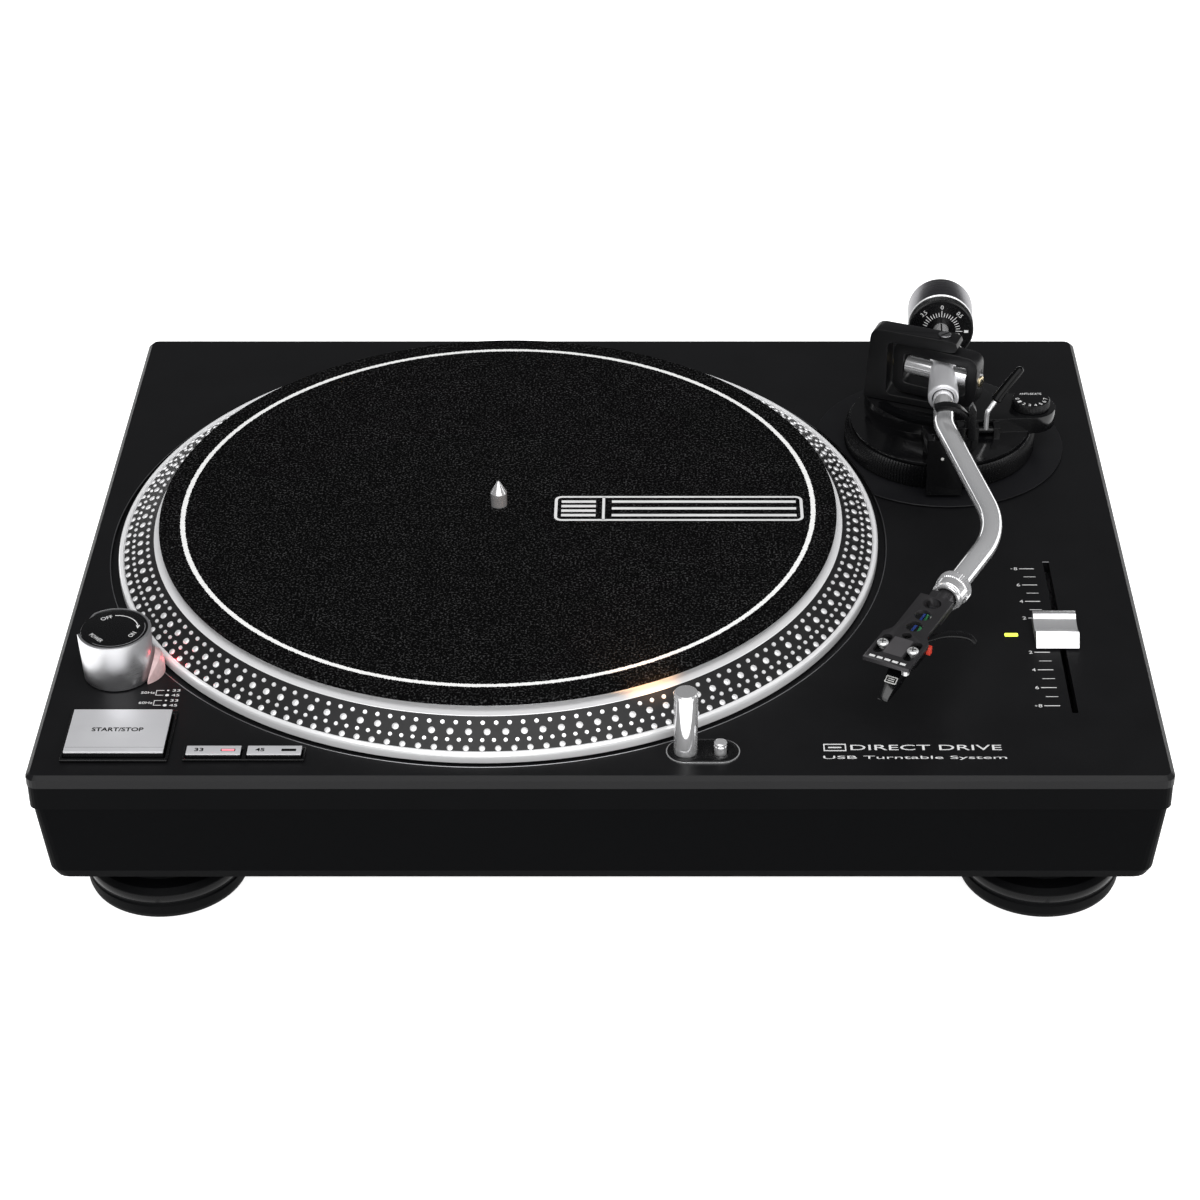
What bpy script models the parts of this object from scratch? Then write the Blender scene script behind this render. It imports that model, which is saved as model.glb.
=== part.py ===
"""Direct-drive turntable with an S-shaped tonearm, as an assembly of separate pieces.

Lengths are millimetres in the deck frame: x to the right of the plinth's centre line, y back from
the front of the deck's flat top, z up from the deck's top surface. to_world() turns a point into
metres with the origin on the floor, under the middle of the plinth.
"""

import math

import bmesh
import bpy
from mathutils import Matrix, Vector

MM = 0.001

# Plinth
PLINTH_WIDTH = 451.6
PLINTH_DEPTH = 354.1
PLINTH_MIDDLE = 176.25
DECK_HEIGHT = 80.0
TOP_PLATE_THICK = 5.3
FRAME_BOTTOM = -15.65
TUB_BOTTOM = -56.0
TUB_FLOOR = -52.0
TUB_INNER_HALF = (219.0, 170.0)
GAP = 0.3

# Platter and drive
PLATTER_CENTRE = (-46.75, 176.0)
PLATTER_RADIUS = 166.0
PLATTER_TOP = 13.0
PLATTER_WELL_RADIUS = 169.5
PLATTER_WELL_DEPTH = 2.0
SLIPMAT_RADIUS = 147.5
SLIPMAT_THICK = 3.0
SPINDLE_RADIUS = 3.6
SPINDLE_TOP = 27.7
MOTOR_HOLE_RADIUS = 44.5

ROUND_STEPS = 72

# Controls
POWER_KNOB_CENTRE = (-198.7, 70.8)
START_BUTTON = (-211.7, -172.3, 11.0, 39.7)
START_BEZEL = (-213.2, -170.6, 8.9, 42.8)
SPEED_BUTTONS = {"speed_33_button": (-163.5, -142.0), "speed_45_button": (-139.4, -118.0)}
SPEED_BUTTON_Y = (10.9, 16.6)
SPEED_BEZEL = (-164.9, -116.7, 9.5, 18.2)
LIGHT_POST_CENTRE = (33.6, 16.4)
LIGHT_POST_RADIUS = 4.8
LIGHT_BUTTON_CENTRE = (47.4, 16.4)
FADER_X = 191.0
FADER_KNOB_X = 188.9
FADER_ZERO_Y = 98.0
FADER_SLOT_Y = (42.6, 153.9)

# Tonearm
PIVOT = (152.4, 254.5)
AXLE_HEIGHT = 37.5
YOKE_ANGLE = math.radians(-21.0)
AXLE_ANGLE = math.radians(-27.5)
HUB_ANGLE = math.radians(-3.8)
REAR_DROOP = math.radians(5.0)
TUBE_RADIUS = 4.6
TUBE_BORE = 3.9
TUBE_SLOPE = 0.031
HEADSHELL_ANGLE = math.radians(-28.3)
COLLAR_CENTRE = (142.2, 82.9, 31.8)
SHELL_OFFSET = Vector((-0.6, 0, 0))
ANTI_SKATE_CENTRE = (193.6, 254.35)
ARM_BASE_Z = (12.0, 20.0)
LEVER_PIVOT = (171.9, 238.6, 16.4)
CLIP_PIVOT = (161.6, 208.4, 31.4)
LIFT_PISTON = (154.6, 222.4, 0)

# Feet
FOOT_CENTRES = {
    "foot_front_left": (-181.0, 42.0),
    "foot_front_right": (181.0, 42.0),
    "foot_rear_left": (-181.0, 310.5),
    "foot_rear_right": (181.0, 310.5),
}
FOOT_RADIUS = 33.3


def to_world(x, y, z):
    """A deck-frame point in millimetres as a world point in metres."""
    return Vector((x, y - PLINTH_MIDDLE, z + DECK_HEIGHT)) * MM


def clear_scene():
    for obj in list(bpy.data.objects):
        bpy.data.objects.remove(obj)


def material(name, color, roughness, metallic=0.0):
    made = bpy.data.materials.new(name)
    made.use_nodes = True
    shader = made.node_tree.nodes["Principled BSDF"]
    shader.inputs["Base Color"].default_value = (*color, 1.0)
    shader.inputs["Roughness"].default_value = roughness
    shader.inputs["Metallic"].default_value = metallic
    made.diffuse_color = (*color, 1.0)
    return made


def add_piece(name, bm, color, origin, turn=None, roughness=0.4, metallic=0.0):
    """An object whose mesh is drawn in millimetres about its own origin, placed in the deck frame."""
    bmesh.ops.recalc_face_normals(bm, faces=bm.faces)
    bmesh.ops.scale(bm, vec=(MM, MM, MM), verts=bm.verts)
    mesh = bpy.data.meshes.new(name)
    bm.to_mesh(mesh)
    bm.free()
    mesh.shade_smooth()
    mesh.set_sharp_from_angle(angle=math.radians(32))
    mesh.materials.append(material(name, color, roughness, metallic))
    obj = bpy.data.objects.new(name, mesh)
    bpy.context.scene.collection.objects.link(obj)
    obj.matrix_world = Matrix.Translation(to_world(*origin)) @ (turn or Matrix.Identity(4))
    return obj


def combine(obj, bm, operation, origin, turn=None):
    """Cuts from or joins to an object a helper solid, which stays in the file as a hidden guide."""
    name = f"{obj.name}_{operation.lower()}_{len(obj.modifiers)}"
    helper = add_piece(name, bm, (0.5, 0.5, 0.5), origin, turn)
    helper.hide_render = True
    helper.display_type = "WIRE"
    modifier = obj.modifiers.new(name, "BOOLEAN")
    modifier.operation = operation
    modifier.solver = "EXACT"
    modifier.object = helper


def cut(obj, bm, origin, turn=None):
    combine(obj, bm, "DIFFERENCE", origin, turn)


def join(obj, bm, origin, turn=None):
    combine(obj, bm, "UNION", origin, turn)


def loft(sections, ring=False):
    """Bridges outlines that have the same number of points, with caps, or as a closed ring."""
    bm = bmesh.new()
    rows = [[bm.verts.new(point) for point in section] for section in sections]
    pairs = list(zip(rows, rows[1:]))
    if ring:
        pairs.append((rows[-1], rows[0]))
    else:
        bm.faces.new(rows[0])
        bm.faces.new(rows[-1])
    for low, high in pairs:
        count = len(low)
        for i in range(count):
            j = (i + 1) % count
            bm.faces.new((low[i], low[j], high[j], high[i]))
    return bm


def prism(outline, low, high):
    return loft([[(x, y, z) for x, y in outline] for z in (low, high)])


def side_prism(outline, low, high):
    """A prism along y of an outline given as (x, z) points."""
    return loft([[(x, y, z) for x, z in outline] for y in (low, high)])


def box(x0, x1, y0, y1, z0, z1):
    return prism([(x0, y0), (x1, y0), (x1, y1), (x0, y1)], z0, z1)


def arc(cx, cy, radius, start, end, steps):
    """Points on an arc, with angles in degrees."""
    angles = [math.radians(start + (end - start) * i / steps) for i in range(steps + 1)]
    return [(cx + radius * math.cos(a), cy + radius * math.sin(a)) for a in angles]


def rounded_rectangle(half_x, half_y, radius, steps=5, centre=(0.0, 0.0)):
    points = []
    for sx, sy, start in ((1, 1, 0), (-1, 1, 90), (-1, -1, 180), (1, -1, 270)):
        cx = centre[0] + sx * (half_x - radius)
        cy = centre[1] + sy * (half_y - radius)
        points += arc(cx, cy, radius, start, start + 90, steps)
    return points


def turned(profile, steps):
    """Turns a profile of (radius, height) points about z. Points at radius 0 close it on the axis."""
    bm = bmesh.new()
    rows = []
    for radius, height in profile:
        if radius == 0:
            rows.append([bm.verts.new((0, 0, height))])
            continue
        angles = [2 * math.pi * i / steps for i in range(steps)]
        rows.append([bm.verts.new((radius * math.cos(a), radius * math.sin(a), height)) for a in angles])
    pairs = list(zip(rows, rows[1:]))
    if len(rows[0]) > 1:
        pairs.append((rows[-1], rows[0]))
    for low, high in pairs:
        for i in range(steps):
            j = (i + 1) % steps
            corners = [low[i % len(low)], low[j % len(low)], high[j % len(high)], high[i % len(high)]]
            unique = list(dict.fromkeys(corners))
            if len(unique) > 2:
                bm.faces.new(unique)
    return bm


def cylinder(radius, low, high, steps=24, centre=(0.0, 0.0)):
    return prism(arc(*centre, radius, 0, 360 * (steps - 1) / steps, steps - 1), low, high)


def tube_ring(inner, outer, low, high, steps=32):
    return turned([(inner, low), (outer, low), (outer, high), (inner, high)], steps)


def gathered(solids):
    """One mesh that holds several solids which don't touch, to cut them all at once."""
    whole = bmesh.new()
    for solid in solids:
        mesh = bpy.data.meshes.new("solid")
        solid.to_mesh(mesh)
        solid.free()
        whole.from_mesh(mesh)
        bpy.data.meshes.remove(mesh)
    return whole


# Frames of the tonearm: local -y runs forward along a part, and local z is up.
ABOUT_X = Matrix.Rotation(math.radians(90), 4, "X")
ABOUT_Y = Matrix.Rotation(math.radians(90), 4, "Y")
YOKE_TURN = Matrix.Rotation(YOKE_ANGLE, 4, "Z")
AXLE_TURN = Matrix.Rotation(AXLE_ANGLE, 4, "Z")
HUB_TURN = Matrix.Rotation(HUB_ANGLE, 4, "Z") @ Matrix.Rotation(math.atan(TUBE_SLOPE), 4, "X")
REAR_TURN = Matrix.Rotation(HUB_ANGLE, 4, "Z") @ Matrix.Rotation(-REAR_DROOP, 4, "X")
SHELL_TURN = Matrix.Rotation(HEADSHELL_ANGLE, 4, "Z") @ Matrix.Rotation(math.atan(TUBE_SLOPE), 4, "X")
PIVOT_POINT = (*PIVOT, AXLE_HEIGHT)

BLACK = (0.012, 0.012, 0.013)
SATIN_BLACK = (0.02, 0.02, 0.022)
NAVY_BLACK = (0.008, 0.009, 0.013)
SILVER = (0.72, 0.72, 0.73)
CHROME = (0.82, 0.82, 0.83)
GUNMETAL = (0.16, 0.16, 0.18)
GOLD = (0.75, 0.6, 0.3)


def stepped_well(centre):
    """The shallow well that the platter turns in, with the motor's hole through its floor."""
    depth = -PLATTER_WELL_DEPTH
    profile = [(0, -6), (MOTOR_HOLE_RADIUS, -6), (MOTOR_HOLE_RADIUS, depth)]
    profile += [(PLATTER_WELL_RADIUS, depth), (PLATTER_WELL_RADIUS, 1), (0, 1)]
    well = turned(profile, ROUND_STEPS)
    bmesh.ops.translate(well, verts=well.verts, vec=(*centre, 0))
    return well


def button_hole(button, clearance):
    x0, x1, y0, y1 = button
    return box(x0 - clearance, x1 + clearance, y0 - clearance, y1 + clearance, -6, 1)


def fader_slot():
    low, high = FADER_SLOT_Y
    centre = (FADER_X, (low + high) / 2)
    return prism(rounded_rectangle(1.3, (high - low) / 2, 0.6, 3, centre), -6, 1)


def make_plinth():
    middle = PLINTH_MIDDLE

    def outline(inset, radius, z):
        half = (PLINTH_WIDTH / 2 - inset, PLINTH_DEPTH / 2 - inset)
        return [(x, y, z) for x, y in rounded_rectangle(*half, radius, centre=(0, middle))]

    plate = loft(
        [outline(0.0, 4.6, -TOP_PLATE_THICK), outline(0.0, 4.6, -1.6), outline(1.8, 3.0, 0.0)]
    )
    top_plate = add_piece("top_plate", plate, SATIN_BLACK, (0, 0, 0), roughness=0.42)
    holes = [
        stepped_well(PLATTER_CENTRE),
        cylinder(36.2, -6, 1, 48, PIVOT),
        button_hole(START_BUTTON, 0.4),
        *(button_hole((*span, *SPEED_BUTTON_Y), 0.35) for span in SPEED_BUTTONS.values()),
        cylinder(LIGHT_POST_RADIUS + 0.4, -6, 1, 32, LIGHT_POST_CENTRE),
        cylinder(3.1, -6, 1, 24, LIGHT_BUTTON_CENTRE),
        fader_slot(),
    ]
    cut(top_plate, gathered(holes), (0, 0, 0))

    outer = [outline(0.3, 4.2, FRAME_BOTTOM), outline(0.3, 4.2, -TOP_PLATE_THICK - GAP)]
    inner = [outline(8.8, 2.0, -TOP_PLATE_THICK - GAP), outline(8.8, 2.0, FRAME_BOTTOM)]
    add_piece("plinth_frame", loft(outer + inner, ring=True), BLACK, (0, 0, 0), roughness=0.5)

    top = FRAME_BOTTOM - GAP

    def cavity(z):
        return [(x, y, z) for x, y in rounded_rectangle(*TUB_INNER_HALF, 4, centre=(0, middle))]

    def floor_opening(z):
        return [(x, y, z) for x, y in rounded_rectangle(140, 140, 6, centre=(0, middle))]

    shell = [
        outline(1.3, 4.2, top),
        outline(3.9, 5.4, -49.5),
        outline(5.2, 6.4, -53.6),
        outline(9.2, 8.4, TUB_BOTTOM),
        floor_opening(TUB_BOTTOM),
        floor_opening(TUB_FLOOR),
        cavity(TUB_FLOOR),
        cavity(top),
    ]
    tub = add_piece("bottom_tub", loft(shell, ring=True), NAVY_BLACK, (0, 0, 0), roughness=0.45)
    for centre in FOOT_CENTRES.values():
        cut(tub, cylinder(6.4, -60, -45, 24), (*centre, 0))
    cut(tub, box(30, 150, 340, 360, -41, -19), (0, 0, 0))
    cut(tub, box(-188, -160, 340, 360, -41, -21), (0, 0, 0))
    cover = prism(rounded_rectangle(139.6, 139.6, 5.6, centre=(0, middle)), -55.7, -52.3)
    add_piece("base_cover", cover, BLACK, (0, 0, 0), roughness=0.7)


def make_rear_connectors():
    panel = add_piece("jack_panel", box(26, 154, 342.8, 345.8, -44, -17), BLACK, (0, 0, 0))
    cut(panel, box(100.6, 113.4, 340, 350, -36.3, -23.7), (0, 0, 0))
    cut(panel, cylinder(2.6, -10, 10, 16), (135, 344, -30), ABOUT_X)
    jacks = add_piece("phono_jacks", box(45, 79, 346.1, 347.6, -37, -23), BLACK, (0, 0, 0))
    for x in (53.5, 70.5):
        join(jacks, tube_ring(1.6, 4.15, -4.4, 0.5, 24), (x, 347.2, -30), ABOUT_X)
    usb = add_piece("usb_port", box(101, 113, 332, 350.5, -36, -24), SILVER, (0, 0, 0), metallic=1)
    cut(usb, box(102.7, 111.3, 341.5, 352, -34, -26), (0, 0, 0))
    post = turned([(0, -6), (2.2, -6), (2.2, 2.1), (4.6, 2.1), (4.6, 7.2), (0, 7.2)], 20)
    add_piece("ground_terminal", post, SILVER, (135, 344, -30), ABOUT_X.inverted(), metallic=1)
    inlet = add_piece("power_inlet", box(-187.5, -160.5, 328, 350.5, -40.5, -21.5), BLACK, (0, 0, 0))
    cavity = side_prism(rounded_rectangle(9.6, 6.2, 3.0, 3), 334, 352)
    cut(inlet, cavity, (-174, 0, -31))


def make_internals():
    x, y = PLATTER_CENTRE
    add_piece("motor_stator", tube_ring(16, 42.5, -14, 6.0, 40), GUNMETAL, (x, y, 0), metallic=0.6)
    housing = [(0, -42), (12, -42), (12, -16), (13.5, -14.5), (13.5, -3)]
    housing += [(SPINDLE_RADIUS + GAP, -3), (SPINDLE_RADIUS + GAP, -37), (0, -37)]
    add_piece("bearing_housing", turned(housing, 32), SILVER, (x, y, 0), roughness=0.3, metallic=1)
    add_piece("control_board", box(-214, -104, 8, 46, -14, -12.4), (0.03, 0.12, 0.06), (0, 0, 0))
    core = add_piece("power_transformer", box(-160, -95, 255, 312, -51.7, -22), GUNMETAL, (0, 0, 0))
    join(core, cylinder(19, -23, -12, 32), (-127.5, 283.5, 0))


def make_platter():
    x, y = PLATTER_CENTRE
    profile = [
        (SPINDLE_RADIUS + GAP, 1.0),
        (SPINDLE_RADIUS + GAP, PLATTER_TOP),
        (143.6, PLATTER_TOP),
        (143.6, 10.7),
        (150.0, 10.7),
        (163.6, 2.6),
        (164.3, 3.5),
        (165.3, 3.4),
        (PLATTER_RADIUS, 2.4),
        (PLATTER_RADIUS, -1.0),
        (160.5, -1.0),
        (146.0, 9.0),
        (15.0, 9.0),
        (13.0, 1.0),
    ]
    add_piece("platter", turned(profile, ROUND_STEPS), SILVER, (x, y, 0), roughness=0.3, metallic=1)
    cone = SPINDLE_TOP - 5.6
    spindle = [(0, -35), (SPINDLE_RADIUS, -35), (SPINDLE_RADIUS, cone), (0.5, SPINDLE_TOP), (0, SPINDLE_TOP)]
    add_piece("spindle", turned(spindle, 24), CHROME, (x, y, 0), roughness=0.15, metallic=1)
    add_piece("rotor_magnet", tube_ring(46, 60, 1.0, 8.7, 48), GUNMETAL, (x, y, 0), metallic=0.5)
    low = PLATTER_TOP + GAP
    mat = tube_ring(SPINDLE_RADIUS + GAP, SLIPMAT_RADIUS, low, low + SLIPMAT_THICK, ROUND_STEPS)
    add_piece("slipmat", mat, (0.02, 0.02, 0.02), (x, y, 0), roughness=0.95)


def make_power_knob():
    cap = [(0, GAP), (10.7, GAP), (10.7, 20.4), (13.5, 20.4), (13.5, 21.8), (0, 21.8)]
    add_piece("power_knob_cap", turned(cap, 48), BLACK, (*POWER_KNOB_CENTRE, 0))
    profile = [(11.0, 0.6), (14.1, 0.6), (15.0, 20.4), (14.6, 22.0)]
    profile += [(13.8, 22.0), (13.8, 20.1), (11.0, 20.1)]
    ring = turned(profile, 48)
    add_piece("power_knob_ring", ring, SILVER, (*POWER_KNOB_CENTRE, 0), roughness=0.3, metallic=1)
    sections = []
    for i in range(11):
        angle = math.radians(-34 + 8 * i)
        bulge = math.sin(math.pi * (i + 0.5) / 11)
        rim = [(15.5, GAP), (15.7 + 3.2 * bulge, GAP), (15.7 + 3.2 * bulge, 1 + 5 * bulge)]
        rim += [(15.6 + 1.6 * bulge, 1.4 + 9.4 * bulge), (15.5, 1.4 + 9.4 * bulge)]
        sections.append([(r * math.cos(angle), r * math.sin(angle), z) for r, z in rim])
    window = loft(sections)
    add_piece("strobe_window", window, (0.9, 0.55, 0.55), (*POWER_KNOB_CENTRE, 0), roughness=0.2)


def make_push_buttons():
    x0, x1, y0, y1 = START_BEZEL
    bezel = add_piece("start_stop_bezel", box(x0, x1, y0, y1, GAP, 1.5), BLACK, (0, 0, 0))
    x0, x1, y0, y1 = START_BUTTON
    cut(bezel, box(x0 - 0.4, x1 + 0.4, y0 - 0.4, y1 + 0.4, -1, 3), (0, 0, 0))
    button = box(x0, x1, y0, y1, -6.0, 4.0)
    add_piece("start_stop_button", button, SILVER, (0, 0, 0), roughness=0.35, metallic=1)

    x0, x1, y0, y1 = SPEED_BEZEL
    bezel = add_piece("speed_button_bezel", box(x0, x1, y0, y1, GAP, 1.3), BLACK, (0, 0, 0))
    y0, y1 = SPEED_BUTTON_Y
    for name, (x0, x1) in SPEED_BUTTONS.items():
        cut(bezel, box(x0 - 0.35, x1 + 0.35, y0 - 0.35, y1 + 0.35, -1, 3), (0, 0, 0))
        add_piece(name, box(x0, x1, y0, y1, -6.0, 3.0), SILVER, (0, 0, 0), roughness=0.35, metallic=1)


def make_target_light():
    (px, py), (bx, _) = LIGHT_POST_CENTRE, LIGHT_BUTTON_CENTRE
    outline = arc(px, py, 7.3, 90, 270, 14) + arc(bx, py, 7.3, -90, 90, 14)
    bezel = add_piece("target_light_bezel", prism(outline, GAP, 0.9), BLACK, (0, 0, 0))
    cut(bezel, cylinder(LIGHT_POST_RADIUS + 0.4, -1, 2, 32), (px, py, 0))
    cut(bezel, cylinder(4.8, -1, 2, 24), (bx, py, 0))
    r = LIGHT_POST_RADIUS
    profile = [(0, -9), (r, -9), (r, 26.8), (r - 0.3, 27.4)]
    profile += [(r, 28.0), (r, 29.0), (r - 0.3, 29.3), (0, 29.3)]
    post = turned(profile, 32)
    add_piece("target_light_post", post, CHROME, (px, py, 0), roughness=0.15, metallic=1)
    button = turned([(0, -8), (2.6, -8), (2.6, 4.5), (2.0, 5.1), (0, 5.1)], 24)
    add_piece("target_light_button", button, CHROME, (bx, py, 0), roughness=0.15, metallic=1)


def make_pitch_fader():
    low, high = FADER_SLOT_Y
    channel = box(-11, 11, low - 8, high + 8, -26, -8)
    track = add_piece("pitch_fader_track", channel, SILVER, (FADER_X, 0, 0), metallic=1)
    cut(track, box(-7.4, 7.4, low - 4, high + 4, -23, -5), (FADER_X, 0, 0))
    carriage = add_piece(
        "pitch_fader_carriage", box(-6.8, 6.8, -8, 8, -20, -10), BLACK, (FADER_X, FADER_ZERO_Y, 0)
    )
    join(carriage, box(-0.9, 0.9, -4.2, 4.2, -12, 1.2), (FADER_X, FADER_ZERO_Y, 0))
    saddle = [(-10.2, 1.5), (10.2, 1.5), (10.2, 5.6), (8.6, 6.7), (6.4, 6.7)]
    saddle += [(4.4 * math.cos(a), 6.2 - 2.2 * math.sin(a)) for a in (0.35, 0.9, 1.57, 2.24, 2.79)]
    saddle += [(-6.4, 6.7), (-8.6, 6.7), (-10.2, 5.6)]
    knob = loft([[(x, y, z) for y, z in saddle] for x in (-9.0, 9.0)])
    centre = (FADER_KNOB_X, FADER_ZERO_Y, 0)
    add_piece("pitch_fader_knob", knob, CHROME, centre, roughness=0.15, metallic=1)


def make_arm_base():
    trim = tube_ring(37.0, 57.0, GAP, 1.1, 48)
    disc = add_piece("arm_base_disc", trim, SATIN_BLACK, (*PIVOT, 0), roughness=0.35)
    cut(disc, cylinder(PLATTER_WELL_RADIUS, -1, 3, ROUND_STEPS), (*PLATTER_CENTRE, 0))
    ring = [(36.0, 1.4), (43.6, 1.4), (43.6, 8.6), (42.0, 11.5), (36.0, 11.5)]
    add_piece("height_ring", turned(ring, 48), BLACK, (*PIVOT, 0))
    drum = [(30, -10), (35.6, -10), (35.6, 11.9), (41, 11.9), (41, 13.2), (0, 13.2), (0, 9), (30, 9)]
    base = add_piece("arm_base", turned(drum, 48), BLACK, (*PIVOT, 0), roughness=0.2)
    body = arc(146.8, 268.5, 28.5, 270, 150, 12)
    body += [(168.0, 284.2), (176.0, 265.7)] + arc(*ANTI_SKATE_CENTRE, 11.35, 90, -90, 10)
    join(base, prism(body, ARM_BASE_Z[0], ARM_BASE_Z[1]), (0, 0, 0))
    join(base, tube_ring(2.6, 4.2, 12.6, 19.8, 16), LIFT_PISTON)
    lx, ly, lz = LEVER_PIVOT
    for x0, x1 in ((lx - 6.2, lx - 3.4), (lx + 3.4, lx + 6.2)):
        join(base, box(x0, x1, ly - 2.6, 244.5, 12.4, lz + 2.4), (0, 0, 0))
        cut(base, cylinder(1.6, x0 - 0.5 - lx, x1 + 0.5 - lx, 12), LEVER_PIVOT, ABOUT_Y)

    outer = arc(-28.9, 51.4, 4.8, 180, 90, 4) + arc(4.6, 53.4, 2.8, 90, -90, 4)
    inner = arc(-22.8, 48.2, 2.4, 90, 180, 3) + arc(-22.8, 25.9, 2.4, 180, 270, 3)
    outline = [(-35.8, 20.3)] + outer + inner + [(8.0, 23.5), (8.0, 20.3)]
    yoke = add_piece("outer_yoke", side_prism(outline, -4.6, 4.6), BLACK, (*PIVOT, 0), YOKE_TURN)
    cut(yoke, cylinder(2.3, 49, 60, 20), (*PIVOT, 0))
    screw = turned([(0, 50.4), (1.9, 50.4), (1.9, 56.5), (2.8, 56.5), (2.8, 57.3), (0, 57.3)], 20)
    add_piece("yoke_pivot_screw", screw, CHROME, (*PIVOT, 0), roughness=0.15, metallic=1)

    knob = turned([(0, 20.3), (8.7, 20.3), (8.7, 23.4), (8.2, 24.0), (0, 24.0)], 40)
    add_piece("anti_skate_knob", knob, BLACK, (*ANTI_SKATE_CENTRE, 0))


def make_arm_rest():
    post = box(142.6, 158.6, 204.6, 210.5, 2.6, 31.6)
    rest = add_piece("arm_rest", post, BLACK, (0, 0, 0), roughness=0.2)
    join(rest, box(142.6, 149.9, 208, 239.5, 13.6, 19.0), (0, 0, 0))
    join(rest, box(154.5, 158.6, 204.6, 210.5, 30, 37.5), (0, 0, 0))
    trough = cylinder(TUBE_RADIUS + 0.95, -12, 12, 32)
    cut(rest, trough, (149.9, 208, 36.1), ABOUT_X)
    cut(rest, box(138, 149.9, 200, 216, 31.0, 45), (0, 0, 0))

    cx, cy, cz = CLIP_PIVOT
    join(rest, box(156, cx + 2, 211.0, 213.6, cz - 2, cz + 2), (0, 0, 0))
    join(rest, box(156, 158.6, 209, 213.6, cz - 6, cz + 2), (0, 0, 0))
    cut(rest, cylinder(1.2, -9, 9, 12), CLIP_PIVOT, ABOUT_X)
    over_tube = (149.9 - cx, 36.3 - cz)
    hook = arc(*over_tube, 11.4, 118, 0, 10) + arc(*over_tube, 9.2, 0, 118, 10)
    clip = add_piece("arm_clip", side_prism(hook, -2.2, 2.2), BLACK, CLIP_PIVOT, roughness=0.2)
    join(clip, box(-1.6, 1.6, -2.2, 2.2, -1.5, 13.5), CLIP_PIVOT)
    join(clip, side_prism([(-1.6, 13.4), (1.6, 13.4), (0, 16)], -2.2, 2.2), CLIP_PIVOT)
    join(clip, cylinder(0.9, -5.4, 0, 12), CLIP_PIVOT, ABOUT_X)

    lift = arc(0, 0, 34.0, -86, -152, 16) + arc(0, 0, 30.2, -152, -86, 16)
    bar = add_piece("lift_bar", prism(lift, 28.6, 31.0), BLACK, (*PIVOT, 0), roughness=0.6)
    join(bar, cylinder(2.2, 20.5, 29, 16), LIFT_PISTON)


def make_cue_lever():
    path = [(0, 0, 0), (0, 0, 8.5), (1.2, 0.6, 11.0), (4.4, 2.0, 15.4)]
    rod = swept(path, [1.15] * 4, 12)
    lever = add_piece("cue_lever", rod, CHROME, LEVER_PIVOT, roughness=0.15, metallic=1)
    join(lever, cylinder(1.3, -5.8, 5.8, 12), LEVER_PIVOT, ABOUT_Y)
    grip_path = [(4.0, 1.8, 14.8), (5.6, 2.6, 17.2), (12.6, 6.0, 25.4), (15.6, 7.4, 28.8)]
    join(lever, swept(grip_path, [1.9, 2.6, 1.9, 1.6], 12), LEVER_PIVOT)


def swept(path, radii, steps, bore=None):
    """A round bar along points, or a tube where a bore is given, with each section square to the path."""
    points = [Vector(point) for point in path]
    across = Vector((1, 0, 0))
    outer, inner = [], []
    for i, point in enumerate(points):
        ahead = (points[min(i + 1, len(points) - 1)] - points[max(i - 1, 0)]).normalized()
        side = (across - ahead * across.dot(ahead)).normalized()
        up = ahead.cross(side)
        circle = [2 * math.pi * k / steps for k in range(steps)]
        spokes = [side * math.cos(a) + up * math.sin(a) for a in circle]
        outer.append([point + spoke * radii[i] for spoke in spokes])
        if bore:
            inner.append([point + spoke * bore for spoke in spokes])
    return loft(outer + inner[::-1], ring=True) if bore else loft(outer)


def along(turn, distance, origin=PIVOT_POINT):
    """The point a distance forward of an origin, along a tonearm frame's local -y."""
    return Vector(origin) + turn @ Vector((0, -distance, 0))


def fillet(before, corner, after, radius, steps):
    """Points of the arc that rounds a corner of a path."""
    into, out = (before - corner).normalized(), (after - corner).normalized()
    half = into.angle(out) / 2
    reach = radius / math.tan(half)
    centre = corner + (into + out).normalized() * (radius / math.sin(half))
    first, last = corner + into * reach - centre, corner + out * reach - centre
    turn = first.angle(last)
    points = []
    for i in range(steps + 1):
        t = turn * i / steps
        spoke = first * math.sin(turn - t) + last * math.sin(t)
        points.append(centre + spoke / math.sin(turn))
    return points


def tube_path():
    """The tonearm's centre line: straight out of the hub, a slight bend, and the large bend of the S."""
    start = along(HUB_TURN, 12.0)
    first = along(HUB_TURN, 45.5)
    end = Vector(COLLAR_CENTRE) + SHELL_TURN @ Vector((0, -1.0, 0))
    second = Vector((166.2, 127.6, AXLE_HEIGHT - TUBE_SLOPE * 130))
    bends = fillet(start, first, second, 30.0, 3) + fillet(first, second, end, 52.0, 6)
    return [start, *bends, end]


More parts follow.
